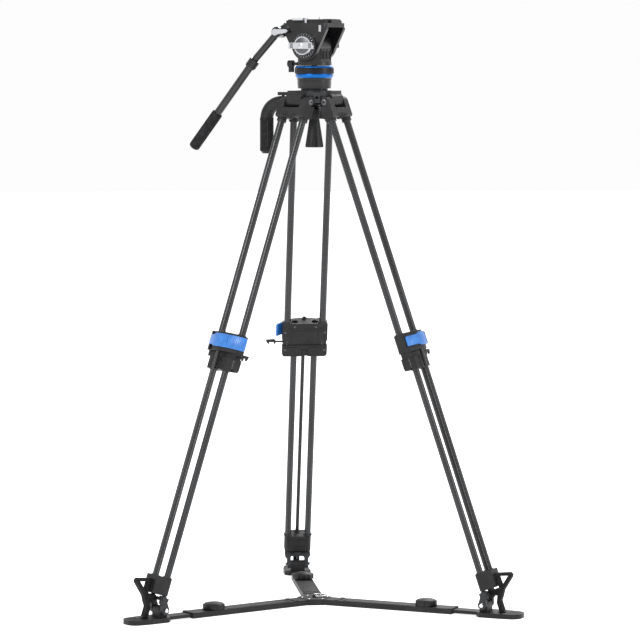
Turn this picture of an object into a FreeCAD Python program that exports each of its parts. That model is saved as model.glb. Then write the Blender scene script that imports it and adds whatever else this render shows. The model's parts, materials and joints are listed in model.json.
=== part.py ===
import FreeCAD, Part
import Sketcher
import math
import os
from FreeCAD import Placement, Rotation, Vector

# Two-stage video tripod with a fluid head and a ground-level spreader.
# Every size is a cell of the sheet "dims"; lengths in millimetres, angles in degrees.
# World frame: +Z up, origin on the ground under the pan axis, legs at 90, 210 and 330 degrees.
# Leg frame (one per leg): origin on the hip hinge, +X away from the tripod's axis, +Y along the
# hinge pin, -Z down the leg.  Head frame: origin on the pan axis at the height of the hip hinges,
# +X towards the lens end of the camera platform, +Y to its left.

DIMENSIONS = {
    # stance
    "leg_tilt": 19.2,
    "hip_radius": 57,
    "head_yaw": -33.5,
    # hip hinge, crown and bowl
    "hinge_pin_radius": 4,
    "lug_half_width": 36,
    "lug_radius": 14,
    "bowl_inner_radius": 37.5,
    "bowl_wall": 7.5,
    "rim_radius": 49,
    "rim_top": 31,
    "rim_height": 10,
    "ball_centre": 37,
    "bowl_hole_radius": 16,
    "roof_thickness": 11,
    "port_radius": 3.97,
    "port_depth": 14,
    "port_face_offset": 68,
    "port_plate_width": 22,
    "port_plate_height": 29,
    "port_plate_thickness": 3,
    # shoulder castings
    "shoulder_radius": 16,
    "shoulder_half_width": 64,
    "shoulder_drop": 46,
    "collar_height": 6,
    # tubes
    "upper_tube_radius": 9.5,
    "upper_tube_spacing": 100,
    "upper_leg_length": 664,
    "tube_wall": 1.5,
    "lower_tube_radius": 9,
    "lower_tube_spacing": 58,
    "lower_tube_offset": 6,
    "lower_leg_length": 578,
    "brace_rod_radius": 5.2,
    "brace_rod_offset": 27,
    # waist castings
    "waist_half_width": 64,
    "waist_inner": 12,
    "waist_end_depth": 13,
    "waist_apex": 36,
    "clamp_height": 52,
    "neck_height": 14,
    "block_height": 34,
    "block_face": 20,
    "lever_thickness": 6,
    "lever_height": 36,
    "lever_pivot_offset": 55,
    "lever_knuckle_radius": 5.5,
    "lever_tail": 82,
    "wing_stem_radius": 2.5,
    "wing_reach": 46,
    # ankle and foot
    "ankle_height": 48,
    "ankle_half_width": 38,
    "ankle_inner": 9,
    "ankle_outer": 36,
    "spike_radius": 5.8,
    "spike_length": 17,
    "spike_spacing": 54,
    "spike_inset": 2,
    "cup_wall": 3.2,
    "axle_drop": 36.5,
    "axle_inset": 17,
    "axle_height": 32,
    "axle_radius": 4,
    "ear_radius": 12,
    "ear_outer": 31,
    "ear_inner": 20.5,
    "plate_thickness": 13,
    "plate_half_width": 38,
    "plate_heel": 18,
    "plate_toe": 106,
    # spreader
    "arm_width": 52,
    "arm_height": 15,
    "arm_end": 420,
    "hub_flat": 40,
    "bar_width": 40,
    "bar_height": 9,
    "bar_length": 330,
    "lock_knob_radius": 30,
    "lock_knob_height": 18,
    "lock_knob_position": 335,
    "ring_radius": 19,
    "ring_wire": 2.4,
    # carry handle
    "carry_radius": 18,
    "carry_reach": 144,
    "carry_bend": 44,
    "carry_drop": 150,
    # head stack, heights above the hip hinges
    "cup_radius": 47.5,
    "cup_foot_radius": 45.3,
    "cup_top": 65,
    "spindle_radius": 30,
    "ring_band_radius": 53.5,
    "drag_ring_height": 34,
    "drum_radius": 47.3,
    "drum_height": 10,
    "tilt_axis": 153,
    "cheek_radius": 40,
    "cheek_inner": 43,
    "cheek_outer": 55,
    "platform_front": 66,
    "platform_rear": 68,
    "platform_bottom": 203,
    "platform_thickness": 12,
    "camera_plate_width": 52,
    "camera_plate_thickness": 10,
    "camera_screw_radius": 3.175,
    "camera_screw_stand": 6,
    "dial_radius": 25,
    "stud_radius": 6,
    "tiedown_length": 110,
    "tiedown_end_radius": 25,
    # pan handle
    "rosette_radius": 15,
    "rosette_back": 84,
    "rosette_height": 190,
    "eye_width": 20.5,
    "rod_radius": 9.8,
    "rod_length": 96,
    "rod_slope": 46,
    "tube_slope": 51,
    "grip_tube_radius": 10.8,
    "grip_tube_length": 192,
    "grip_radius": 15.3,
    "grip_length": 124,
    # clearances
    "seat_gap": 0.3,
    "pin_gap": 0.05,
}

doc = FreeCAD.newDocument("video_tripod")
sheet = doc.addObject("Spreadsheet::Sheet", "dims")
for row, (alias, number) in enumerate(DIMENSIONS.items(), start=1):
    sheet.set(f"A{row}", alias)
    sheet.set(f"B{row}", str(number))
    sheet.setAlias(f"B{row}", alias)
doc.recompute()


class Size:
    """A number of the sheet together with the expression that gives it."""

    def __init__(self, value, text):
        self.value = float(value)
        self.text = text

    def _with(self, other, sign, value):
        return Size(value, f"({self.text} {sign} {size(other).text})")

    def __add__(self, other):
        return self._with(other, "+", self.value + size(other).value)

    def __sub__(self, other):
        return self._with(other, "-", self.value - size(other).value)

    def __mul__(self, other):
        return self._with(other, "*", self.value * size(other).value)

    def __truediv__(self, other):
        return self._with(other, "/", self.value / size(other).value)

    def __radd__(self, other):
        return size(other) + self

    def __rsub__(self, other):
        return size(other) - self

    def __rmul__(self, other):
        return size(other) * self

    def __neg__(self):
        return Size(-self.value, f"(0 - {self.text})")


def size(number):
    """A Size stays as it is; a plain number becomes one."""
    return number if isinstance(number, Size) else Size(number, repr(float(number)))


def dim(alias):
    """The sheet's value of this name."""
    return Size(sheet.get(alias), f"dims.{alias}")


# ---------------------------------------------------------------- helpers

counter = {}


def fresh(stem):
    """A new object name for a construction step."""
    counter[stem] = counter.get(stem, 0) + 1
    return f"{stem}_{counter[stem]}"


def bind(obj, **sizes):
    """Tie properties of an object to the sheet."""
    for prop, amount in sizes.items():
        obj.setExpression(prop, size(amount).text)
    return obj


def at(x=0, y=0, z=0, axis=Vector(0, 0, 1), angle=0):
    """A placement from sizes or plain numbers."""
    base = Vector(size(x).value, size(y).value, size(z).value)
    return Placement(base, Rotation(axis, size(angle).value))


ALONG_X = (Vector(0, 1, 0), 90)
ALONG_Y = (Vector(1, 0, 0), -90)
ALONG_Z = (Vector(0, 0, 1), 0)


def move(obj, x, y, z, turn=ALONG_Z):
    """Place a construction solid, its position tied to the sheet."""
    obj.Placement = Placement(Vector(0, 0, 0), Rotation(*turn))
    for key, amount in (("x", x), ("y", y), ("z", z)):
        obj.setExpression(f"Placement.Base.{key}", size(amount).text)
    return obj


def cylinder(radius, height, x=0, y=0, z=0, turn=ALONG_Z):
    """A cylinder that starts at x, y, z and runs along +X, +Y or +Z."""
    obj = doc.addObject("Part::Cylinder", fresh("cylinder"))
    return move(bind(obj, Radius=radius, Height=height), x, y, z, turn)


def cone(radius_1, radius_2, height, x=0, y=0, z=0, turn=ALONG_Z):
    obj = doc.addObject("Part::Cone", fresh("cone"))
    bind(obj, Radius1=radius_1, Radius2=radius_2, Height=height)
    return move(obj, x, y, z, turn)


def ball(radius, x=0, y=0, z=0):
    obj = doc.addObject("Part::Sphere", fresh("ball"))
    return move(bind(obj, Radius=radius), x, y, z)


def box(low, high):
    """A box between two corners."""
    obj = doc.addObject("Part::Box", fresh("box"))
    lengths = [size(b) - size(a) for a, b in zip(low, high)]
    bind(obj, Length=lengths[0], Width=lengths[1], Height=lengths[2])
    return move(obj, *low)


def fuse(*parts):
    obj = doc.addObject("Part::MultiFuse", fresh("fuse"))
    obj.Shapes = list(parts)
    obj.Refine = True
    return obj


def cut(base, *tools):
    obj = doc.addObject("Part::Cut", fresh("cut"))
    obj.Base = base
    obj.Tool = tools[0] if len(tools) == 1 else fuse(*tools)
    return obj


def common(base, tool):
    obj = doc.addObject("Part::Common", fresh("common"))
    obj.Base = base
    obj.Tool = tool
    return obj


def group(*parts):
    """Separate solids that make one sub-part."""
    obj = doc.addObject("Part::Compound", fresh("group"))
    obj.Links = list(parts)
    return obj


def origin_plane(body, role):
    return next(item for item in body.Origin.OriginFeatures if item.Role == role)


def outlined(plane, points):
    """A body with one sketch: a closed outline whose corners are tied to the sheet."""
    body = doc.addObject("PartDesign::Body", fresh("body"))
    sketch = body.newObject("Sketcher::SketchObject", fresh("outline"))
    sketch.AttachmentSupport = [(origin_plane(body, plane), "")]
    sketch.MapMode = "FlatFace"
    corners = [(size(u), size(v)) for u, v in points]
    count = len(corners)
    for index, (u, v) in enumerate(corners):
        next_u, next_v = corners[(index + 1) % count]
        start = Vector(u.value, v.value, 0)
        end = Vector(next_u.value, next_v.value, 0)
        sketch.addGeometry(Part.LineSegment(start, end), False)
    for index, (u, v) in enumerate(corners):
        follower = (index + 1) % count
        sketch.addConstraint(Sketcher.Constraint("Coincident", index, 2, follower, 1))
        for kind, amount in (("DistanceX", u), ("DistanceY", v)):
            datum = Sketcher.Constraint(kind, -1, 1, index, 1, amount.value)
            number = sketch.addConstraint(datum)
            sketch.setExpression(f"Constraints[{number}]", amount.text)
    return body, sketch


def prism(plane, points, start, end, rounds=()):
    """An outline pushed out from one offset of its plane to another.

    rounds lists (corner number, radius): the edges at those corners are filleted.
    """
    body, sketch = outlined(plane, points)
    start, end = size(start), size(end)
    push = {"XY_Plane": "z", "XZ_Plane": "y", "YZ_Plane": "x"}[plane]
    pad = body.newObject("PartDesign::Pad", fresh("pad"))
    pad.Profile = sketch
    pad.setExpression("Length", (end - start).text)
    # a sketch on the XZ plane faces -Y, so its pad starts from the far side
    pad.Reversed = plane == "XZ_Plane"
    move(body, *[start if axis == push else 0 for axis in "xyz"])
    doc.recompute()
    for corner, radius in rounds:
        u, v = (size(amount).value for amount in points[corner])
        solid = body.Tip
        edge = corner_edge(solid.Shape, plane, u, v)
        fillet = body.newObject("PartDesign::Fillet", fresh("fillet"))
        fillet.Base = (solid, [edge])
        fillet.setExpression("Radius", size(radius).text)
        body.Tip = fillet
        doc.recompute()
    return body


def corner_edge(shape, plane, u, v):
    """The name of the straight edge that stands on the corner u, v of the plane."""
    picks = {"XY_Plane": (0, 1), "XZ_Plane": (0, 2), "YZ_Plane": (1, 2)}[plane]
    for number, edge in enumerate(shape.Edges, start=1):
        ends = [vertex.Point for vertex in edge.Vertexes]
        if len(ends) == 2 and all(
            abs(end[picks[0]] - u) < 0.01 and abs(end[picks[1]] - v) < 0.01 for end in ends
        ):
            return f"Edge{number}"
    raise ValueError(f"no edge stands on {u}, {v}")


def turned(points):
    """A solid of revolution about Z from an outline of (radius, height) corners."""
    body, sketch = outlined("XZ_Plane", points)
    feature = body.newObject("PartDesign::Revolution", fresh("revolution"))
    feature.Profile = sketch
    feature.ReferenceAxis = (sketch, ["V_Axis"])
    feature.Angle = 360
    return body

subparts = []


def subpart(label, obj, place=Placement()):
    """Name a finished sub-part and put it where it belongs."""
    obj.Label = label
    obj.Placement = place
    subparts.append(obj)
    return obj


# ---------------------------------------------------------------- where things are

gap = dim("seat_gap")
pin_gap = dim("pin_gap")

# distances down the leg, from the hip hinge
clamp_top = dim("upper_leg_length")
clamp_bottom = clamp_top + dim("clamp_height")
block_top = clamp_bottom + dim("neck_height")
block_bottom = block_top + dim("block_height")
ankle_top = block_bottom + dim("lower_leg_length")
ankle_bottom = ankle_top + dim("ankle_height")
axle_down = ankle_bottom + dim("axle_drop")

tilt = math.radians(dim("leg_tilt").value)
leg_vector = (math.sin(tilt), math.cos(tilt))
inset = dim("axle_inset").value
hip_height = (dim("axle_height").value + axle_down.value * leg_vector[1]
              + inset * leg_vector[0])
axle_reach = (dim("hip_radius").value + axle_down.value * leg_vector[0]
              - inset * leg_vector[1])
print(f"hip hinges {hip_height:.1f} mm up, foot axles {axle_reach:.1f} mm out")

LEGS = {1: 90, 2: 210, 3: 330}


def around(azimuth, x=0, z=0):
    """A place at this azimuth, distance and height, with +X pointing outwards."""
    turn = Rotation(Vector(0, 0, 1), azimuth)
    return Placement(turn.multVec(Vector(x, 0, z)), turn)


def leg_place(azimuth):
    """The leg frame."""
    lean = Placement(Vector(0, 0, 0), Rotation(Vector(0, 1, 0), -dim("leg_tilt").value))
    return around(azimuth, dim("hip_radius").value, hip_height).multiply(lean)


crown_place = Placement(Vector(0, 0, hip_height), Rotation())
head_place = Placement(Vector(0, 0, hip_height), Rotation(Vector(0, 0, 1), dim("head_yaw").value))

# ---------------------------------------------------------------- crown


def crown_lug(azimuth):
    """One hinge lug: a barrel for the hip pin and the web that ties it to the bowl."""
    half = dim("lug_half_width")
    reach = dim("hip_radius")
    radius = dim("lug_radius")
    top = dim("rim_top")
    web = prism("XZ_Plane", [
        (36, -14), (reach, -14), (reach + radius, 0), (reach + radius - 1, 16),
        (reach + 4, top - 3), (36, top)], -half, half)
    barrel = cylinder(radius, half * 2, reach, -half, 0, ALONG_Y)
    lug = fuse(web, barrel)
    lug.Placement = around(azimuth)
    return lug


def crown_roof():
    """The plate that joins the three lugs under the rim."""
    half = dim("lug_half_width").value
    reach = dim("hip_radius").value + dim("lug_radius").value - 6
    corners = []
    for azimuth in LEGS.values():
        turn = Rotation(Vector(0, 0, 1), azimuth)
        for side in (-half, half):
            corner = turn.multVec(Vector(reach, side, 0))
            corners.append((corner.x, corner.y))
    top = dim("rim_top")
    return prism("XY_Plane", corners, top - dim("roof_thickness"), top)


def port_boss():
    """The faceted boss between two legs that carries the accessory port."""
    face = dim("port_face_offset")
    half = dim("port_plate_width") / 2
    height = dim("port_plate_height") / 2
    middle = dim("rim_top") - height - 4
    boss = prism("XY_Plane", [
        (38, -28), (50, -16), (60, 0.5 - half), (face, 0.5 - half),
        (face, half - 0.5), (60, half - 0.5), (50, 16), (38, 28)],
        middle - height - 1, middle + height + 1)
    boss.Placement = around(270).multiply(boss.Placement)
    boss.setExpression("Placement.Base.z", None)
    boss.setExpression("Placement.Base.x", None)
    boss.setExpression("Placement.Base.y", None)
    return boss, middle


def build_crown():
    centre = dim("ball_centre")
    top = dim("rim_top")
    outer = dim("bowl_inner_radius") + dim("bowl_wall")
    shell = cut(ball(outer, 0, 0, centre), box((-60, -60, top), (60, 60, centre + 60)))
    rim = cylinder(dim("rim_radius"), dim("rim_height"), 0, 0, top - dim("rim_height"))
    boss, middle = port_boss()
    bracket = box((40, -13, top - 13), (105, 13, top - 4))
    bracket.Placement = around(150).multiply(bracket.Placement)
    for key in "xyz":
        bracket.setExpression(f"Placement.Base.{key}", None)
    bracket.Placement = around(150).multiply(
        Placement(Vector(40, -13, (top - 13).value), Rotation()))
    solid = fuse(shell, rim, crown_roof(), boss, bracket,
                 *[crown_lug(azimuth) for azimuth in LEGS.values()])
    reach = dim("hip_radius").value
    pins = []
    for azimuth in LEGS.values():
        hole = cylinder(dim("hinge_pin_radius"), 160)
        for key in "xyz":
            hole.setExpression(f"Placement.Base.{key}", None)
        hole.Placement = around(azimuth, reach).multiply(at(0, -80, 0, *ALONG_Y))
        pins.append(hole)
    socket = cylinder(dim("port_plate_width") * 0.36, dim("port_depth") + 2)
    for key in "xyz":
        socket.setExpression(f"Placement.Base.{key}", None)
    start = dim("port_face_offset").value - dim("port_depth").value
    socket.Placement = around(270).multiply(at(start, 0, middle, *ALONG_X))
    hollow = fuse(ball(dim("bowl_inner_radius"), 0, 0, centre),
                  cylinder(dim("bowl_hole_radius"), 80, 0, 0, -40))
    underside = cut(cylinder(outer - 10, 60, 0, 0, -60), ball(outer, 0, 0, centre))
    return cut(solid, hollow, underside, socket, *pins), middle


crown, port_middle = build_crown()
subpart("crown", crown, crown_place)

port = dim("port_radius")
face = dim("port_face_offset")
plate_half = dim("port_plate_width") / 2 - 1.3
plate_rise = dim("port_plate_height") / 2
insert = cut(
    fuse(box((face, -plate_half, port_middle - plate_rise),
             (face + dim("port_plate_thickness"), plate_half, port_middle + plate_rise)),
         cylinder(dim("port_plate_width") * 0.36, dim("port_depth"),
                  face - dim("port_depth"), 0, port_middle, ALONG_X)),
    cylinder(port, 40, face - 30, 0, port_middle, ALONG_X),
    *[cylinder(1.5, 6, face + 1, side * 7.6, port_middle, ALONG_X) for side in (-1, 1)])
subpart("port_insert", insert, crown_place.multiply(around(270)))

pin_half = dim("shoulder_half_width") - 2
pins = []
for azimuth in LEGS.values():
    pin = cylinder(dim("hinge_pin_radius"), pin_half * 2)
    for key in "xyz":
        pin.setExpression(f"Placement.Base.{key}", None)
    pin.Placement = around(azimuth, dim("hip_radius").value).multiply(
        at(0, -pin_half, 0, *ALONG_Y))
    pins.append(pin)
subpart("hinge_pins", group(*pins), crown_place)


def build_carry_handle():
    """A tube that leaves the crown's bracket, bends down and ends in a round tip."""
    radius = dim("carry_radius")
    bend = dim("carry_bend")
    reach = dim("carry_reach")
    start = 88
    level = dim("rim_top") - 15 - radius
    across = cylinder(radius, reach - bend - start, start, 0, level, ALONG_X)
    elbow = doc.addObject("Part::Torus", fresh("elbow"))
    bind(elbow, Radius1=bend, Radius2=radius, Angle3=90)
    elbow.Placement = at(reach - bend, 0, level - bend, Vector(1, 0, 0), 90)
    drop = dim("carry_drop") - radius - bend
    down = cylinder(radius, drop, reach, 0, level - bend - drop)
    tip = cone(radius - 6, radius, 8, reach, 0, level - bend - drop - 8)
    bolt = cut(cylinder(4, dim("rim_top") - 13 - level, start + 6, 0, level),
               cylinder(radius, bend, start, 0, level, ALONG_X))
    return group(fuse(across, elbow, down, tip), bolt)


subpart("carry_handle", build_carry_handle(), crown_place.multiply(around(150)))

# ---------------------------------------------------------------- legs

upper_half = dim("upper_tube_spacing") / 2
lower_half = dim("lower_tube_spacing") / 2
tube = dim("upper_tube_radius")
slim = dim("lower_tube_radius")
wall = dim("tube_wall")
rod = dim("brace_rod_radius")
shift = dim("lower_tube_offset")
rod_shift = dim("brace_rod_offset")
SIDES = (-1, 1)


def hollow_tube(radius, x, y, low, high):
    outer = cylinder(radius, high - low, x, y, low)
    return cut(outer, cylinder(radius - wall, high - low, x, y, low))


def shoulder(place):
    """The casting that hangs on the hip pin and holds the two upper tubes."""
    half = dim("shoulder_half_width")
    drop = dim("shoulder_drop")
    radius = dim("shoulder_radius")
    knuckle = cylinder(radius, half * 2, 0, -half, 0, ALONG_Y)
    block = prism("XZ_Plane", [
        (-radius, 0), (-radius, 4 - drop), (4 - radius, -drop), (radius - 4, -drop),
        (radius, 4 - drop), (radius, 0)], -half, half)
    collars = [cylinder(tube + 3.5, dim("collar_height"), 0, side * upper_half,
                        -drop - dim("collar_height")) for side in SIDES]
    solid = fuse(knuckle, block, *collars)
    inner = dim("lug_half_width") + gap
    mouth = box((-30, -inner, -dim("lug_radius") - 6), (30, inner, 30))
    bore = cylinder(dim("hinge_pin_radius") + pin_gap, half * 2, 0, -half, 0, ALONG_Y)
    arch = cylinder(24, 60, -30, 0, -drop - 12, ALONG_X)
    sockets = [cylinder(tube, drop, 0, side * upper_half,
                        -drop - dim("collar_height")) for side in SIDES]
    # the corners that face the next leg are cut off, so that neighbours stay clear
    corners = []
    for side in SIDES:
        points = [(-radius - 1, side * (half - 22)), (-2, side * (half + 1)),
                  (-radius - 1, side * (half + 1))]
        corners.append(prism("XY_Plane", points[::side], -10, 30))
    return subpart(f"shoulder_{leg}", cut(solid, mouth, bore, arch, *sockets, *corners), place)


def upper_tubes(place):
    top = -(dim("hinge_pin_radius") + 8)
    bottom = 6 - block_bottom
    pair = [hollow_tube(tube, 0, side * upper_half, bottom, top) for side in SIDES]
    return subpart(f"upper_tubes_{leg}", group(*pair), place)


def sliding_bores(low, high):
    """Clearance holes for the lower tubes."""
    return [cylinder(slim + gap, high - low, shift, side * lower_half, low) for side in SIDES]


def tube_bores(low, high):
    return [cylinder(tube, high - low, 0, side * upper_half, low) for side in SIDES]


def bow(radius_offset, low, high):
    """A cylinder that shapes the clamp's curved outer face, larger by radius_offset."""
    half = dim("waist_half_width")
    sagitta = dim("waist_apex") - dim("waist_end_depth")
    radius = (half * half + sagitta * sagitta) / (sagitta * 2)
    return cylinder(radius + radius_offset, high - low, dim("waist_apex") - radius, 0, low)


lever_side = -dim("lever_pivot_offset")
lever_half = dim("lever_height") / 2
lever_middle = -clamp_top - 6 - lever_half
pivot_x = dim("waist_end_depth") + 8


def waist_clamp(place):
    """The upper waist casting: holds the upper tubes, guides and clamps the lower stage."""
    half = dim("waist_half_width")
    low, high = -clamp_bottom, -clamp_top
    body = common(box((-dim("waist_inner"), -half, low), (dim("waist_apex"), half, high)),
                  bow(0, low, high))
    ears = common(box((0, -half, low), (dim("waist_apex") + 10, -half + 27, high)),
                  bow(dim("lever_thickness"), low, high))
    slot = box((pivot_x - 9, -half - 1, lever_middle - lever_half + 4),
               (dim("waist_apex") + 12, -half + 28, lever_middle + lever_half - 4))
    pocket = common(slot, fuse(cut(bow(20, low, high), bow(0, low, high)),
                               cylinder(dim("lever_knuckle_radius") + 1, high - low,
                                        pivot_x, lever_side, low)))
    inside = box((-dim("waist_inner") - 1, -38, low - 1), (-dim("waist_inner") + 2, 38, low + 30))
    pin = cylinder(2, dim("clamp_height") - 4, pivot_x, lever_side, low + 2)
    solid = cut(fuse(body, ears), pocket, inside, *tube_bores(low, high),
                *sliding_bores(low, high),
                cylinder(rod + gap, high - low, rod_shift, 0, low))
    return subpart(f"waist_clamp_{leg}", fuse(solid, pin), place)


def flip_lever(place):
    """The quick-release lever: a bowed plate on a knuckle, with a thumb tail."""
    low, high = lever_middle - lever_half, lever_middle + lever_half
    thick = dim("lever_thickness")
    tail = dim("lever_tail")
    bowed = cut(bow(thick, low, high), bow(0.6, low, high))
    plate = common(bowed, prism("YZ_Plane", [
        (lever_side - 1, low + 4.5), (-24, low + 4.5), (-12, low), (tail - 3, low),
        (tail, low + 3), (tail, high - 3), (tail - 3, high), (-12, high),
        (-24, high - 4.5), (lever_side - 1, high - 4.5)], 0, 60))
    knuckle = cylinder(dim("lever_knuckle_radius"), dim("lever_height") - 9,
                       pivot_x, lever_side, low + 4.5)
    solid = cut(fuse(plate, knuckle),
                cylinder(2 + pin_gap, dim("lever_height"), pivot_x, lever_side, low))
    return subpart(f"flip_lever_{leg}", solid, place)


def waist_block(place):
    """The lower waist casting: the end of the upper tubes and the lower guide."""
    half = dim("waist_half_width")
    inner = dim("waist_inner")
    front = dim("block_face")
    low, high = -block_bottom, -block_top
    plan = prism("XY_Plane", [
        (-inner, -half), (-1, -half), (front, -half + 21), (front, half - 21),
        (-1, half), (-inner, half)], low, high)
    view = prism("YZ_Plane", [
        (-half, low), (half, low), (half, high), (-half, high)], -inner, front,
        rounds=((0, 9), (1, 9)))
    neck = box((3 - inner, -half + 2, high), (front - 5, half - 2, -clamp_bottom))
    bottom, top = low, -clamp_bottom
    notch = box((-inner - 1, -9, low - 1), (5 - inner, 9, low + 24))
    bore = cylinder(dim("wing_stem_radius") + pin_gap, 9, wing_x, tube_edge - 2, wing_z, ALONG_Y)
    solid = cut(fuse(common(plan, view), neck), notch, bore, *tube_bores(bottom, top),
                *sliding_bores(bottom, top))
    return subpart(f"waist_block_{leg}", solid, place)


wing_x = size(2)
tube_edge = upper_half + tube
wing_z = -clamp_bottom - dim("neck_height") / 2


def wing_screw(place):
    """The small clamp screw with a winged handle."""
    half = dim("waist_half_width")
    stem_start = tube_edge + gap
    reach = dim("wing_reach")
    near = half + 18
    stem = cylinder(dim("wing_stem_radius"), near - stem_start + 1, wing_x, stem_start, wing_z,
                    ALONG_Y)
    far = half + reach
    wing = prism("YZ_Plane", [
        (near, wing_z - 3), (near + 3, wing_z - 9), (near + 6, wing_z - 1),
        (far - 10, wing_z - 1), (far - 8, wing_z - 8), (far - 3, wing_z - 2), (far, wing_z + 5),
        (near + 4, wing_z + 7), (near, wing_z + 3)], wing_x - 2.6, wing_x + 2.6)
    return subpart(f"wing_screw_{leg}", fuse(stem, wing), place)


def lower_tubes(place):
    """Two slim tubes and the brace rod in front of them."""
    top = -clamp_top - 8
    bottom = -ankle_bottom + 4
    pair = [hollow_tube(slim, shift, side * lower_half, bottom, top) for side in SIDES]
    brace = cylinder(rod, -clamp_top + 5 - bottom, rod_shift, 0, bottom)
    return subpart(f"lower_tubes_{leg}", group(*pair, brace), place)


def ankle_block(place):
    """The casting at the bottom of the leg, with its two spikes."""
    half = dim("ankle_half_width")
    inner = dim("ankle_inner")
    outer = dim("ankle_outer")
    low, high = -ankle_bottom, -ankle_top
    body = prism("XY_Plane", [
        (-inner, -half + 6), (6 - inner, -half), (outer - 12, -half), (outer, -half + 14),
        (outer, half - 14), (outer - 12, half), (6 - inner, half), (-inner, half - 6)],
        low, high)
    spikes = []
    for side in SIDES:
        y = side * (dim("spike_spacing") / 2)
        x = -dim("spike_inset")
        radius = dim("spike_radius")
        spikes.append(cylinder(radius, 8, x, y, low - 8))
        spikes.append(cone(1, radius, dim("spike_length") - 8, x, y,
                           low - dim("spike_length")))
    bores = [cylinder(slim, high - low, shift, side * lower_half, low + 4) for side in SIDES]
    solid = cut(fuse(body, *spikes), cylinder(rod, high - low, rod_shift, 0, low + 4), *bores)
    return subpart(f"ankle_block_{leg}", solid, place)


axle_x = -dim("axle_inset")
axle_z = -axle_down


def foot_yoke(place):
    """The rocking saddle: two spike cups on a crossbar, two cheeks and the ankle axle."""
    radius = dim("spike_radius") + gap + dim("cup_wall")
    x = -dim("spike_inset")
    rim = 1 - ankle_bottom - 3
    depth = dim("spike_length") + 1
    outer, inner = dim("ear_outer"), dim("ear_inner")
    half = dim("ankle_half_width") - 1
    pieces = [box((x - 11, -half, rim - 12), (x + 8, half, rim - 3))]
    hollows = []
    for side in SIDES:
        y = side * (dim("spike_spacing") / 2)
        pieces.append(cylinder(radius, depth - 2, x, y, rim - depth + 2))
        pieces.append(ball(radius, x, y, rim - depth + 2))
        hollows.append(cylinder(dim("spike_radius") + gap, depth + 1, x, y, rim - depth + 1))
        cheek_low, cheek_high = (inner, outer) if side > 0 else (-outer, -inner)
        ear = cylinder(dim("ear_radius"), outer - inner, axle_x, cheek_low, axle_z, ALONG_Y)
        web = prism("XZ_Plane", [
            (axle_x - 11, axle_z + 4), (axle_x + 11, axle_z - 3), (x + 7, rim - 8),
            (x - 10, rim - 8)], cheek_low, cheek_high)
        pieces += [ear, web]
    axle = cylinder(dim("axle_radius"), outer * 2 + 6, axle_x, -outer - 3, axle_z, ALONG_Y)
    post = box((x - 13, -3.5, axle_z + dim("ear_radius") + 1.5), (x - 9, 3.5, rim - 2))
    crosspiece = box((x - 13, -9, rim - 5), (x - 9, 9, rim + 1))
    solid = fuse(cut(fuse(*pieces), *hollows), axle, post, crosspiece)
    return subpart(f"foot_yoke_{leg}", solid, place)


def ankle_strap(place):
    """The rubber strap in front of the ankle, with its triangular pull loop."""
    base = dim("ankle_outer") + 1.4
    top = 12 - ankle_bottom + 24
    seat = 8 - dim("spike_inset")
    low = -ankle_bottom
    outline = prism("XZ_Plane", [
        (base, low + 36), (base + 42, low + 26), (base + 46, low + 19), (base + 42, low + 12),
        (base + 9, low - 15), (base + 1, low - 28), (base - 8, low - 40), (base - 8, low - 69),
        (base - 20, low - 69), (base - 20, low - 42), (base - 12, low - 24), (seat, low - 14),
        (seat, low - 6), (base, low - 4)], -9, 9, rounds=((2, 3), (4, 8), (6, 5)))
    hole = prism("XZ_Plane", [
        (base + 7, low + 26), (base + 35, low + 19), (base + 8, low - 3)], -10, 10)
    return subpart(f"ankle_strap_{leg}", cut(outline, hole), place)


def foot_plate(azimuth):
    """The ground pad with its axle lug, and the bar that telescopes into the arm."""
    thick = dim("plate_thickness")
    half = dim("plate_half_width")
    heel, toe = -dim("plate_heel"), dim("plate_toe")
    pad = prism("XY_Plane", [
        (heel, -half + 12), (heel + 12, -half), (toe * 0.45, -half), (toe, -half + 7),
        (toe, half - 7), (toe * 0.45, half), (heel + 12, half), (heel, half - 12)],
        0, thick, rounds=((3, 28), (4, 28)))
    inner = dim("ear_inner") - gap - 0.2
    radius = dim("ear_radius") - 1
    height = dim("axle_height")
    lug = fuse(box((-radius, -inner, thick - 4), (radius, inner, height)),
               cylinder(radius, inner * 2, 0, -inner, height, ALONG_Y))
    slot = box((35, -12, 6), (60, 12, thick + 1))
    plate = cut(fuse(pad, lug), slot,
                cylinder(dim("axle_radius") + pin_gap, inner * 2, 0, -inner, height, ALONG_Y))
    low = (dim("arm_height") - dim("bar_height")) / 2 + 0.5
    bar = box((heel - dim("bar_length"), -dim("bar_width") / 2, low),
              (heel, dim("bar_width") / 2, low + dim("bar_height")))
    return subpart(f"foot_plate_{leg}", group(plate, bar), around(azimuth, axle_reach))


for leg, azimuth in LEGS.items():
    frame = leg_place(azimuth)
    shoulder(frame)
    upper_tubes(frame)
    waist_clamp(frame)
    waist_block(frame)
    flip_lever(frame)
    wing_screw(frame)
    lower_tubes(frame)
    ankle_block(frame)
    foot_yoke(frame)
    ankle_strap(frame)
    foot_plate(azimuth)

# ---------------------------------------------------------------- spreader

arm_low = size(0.5)
arm_top = arm_low + dim("arm_height")
arm_half = dim("arm_width") / 2


def spreader_arm(azimuth):
    """A box-section arm that the foot's bar slides into."""
    start, end = dim("hub_flat"), dim("arm_end")
    low = (dim("arm_height") - dim("bar_height")) / 2 + 0.5
    body = box((start, -arm_half, arm_low), (end, arm_half, arm_top))
    half = dim("bar_width") / 2
    cavity = box((start + 12, -half - gap, low - gap), (end + 1, half + gap,
                 low + dim("bar_height") + gap))
    hole = cylinder(6, 20, dim("lock_knob_position"), 0, low + 2)
    arm = cut(body, cavity, hole)
    arm.Placement = around(azimuth)
    return arm


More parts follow.
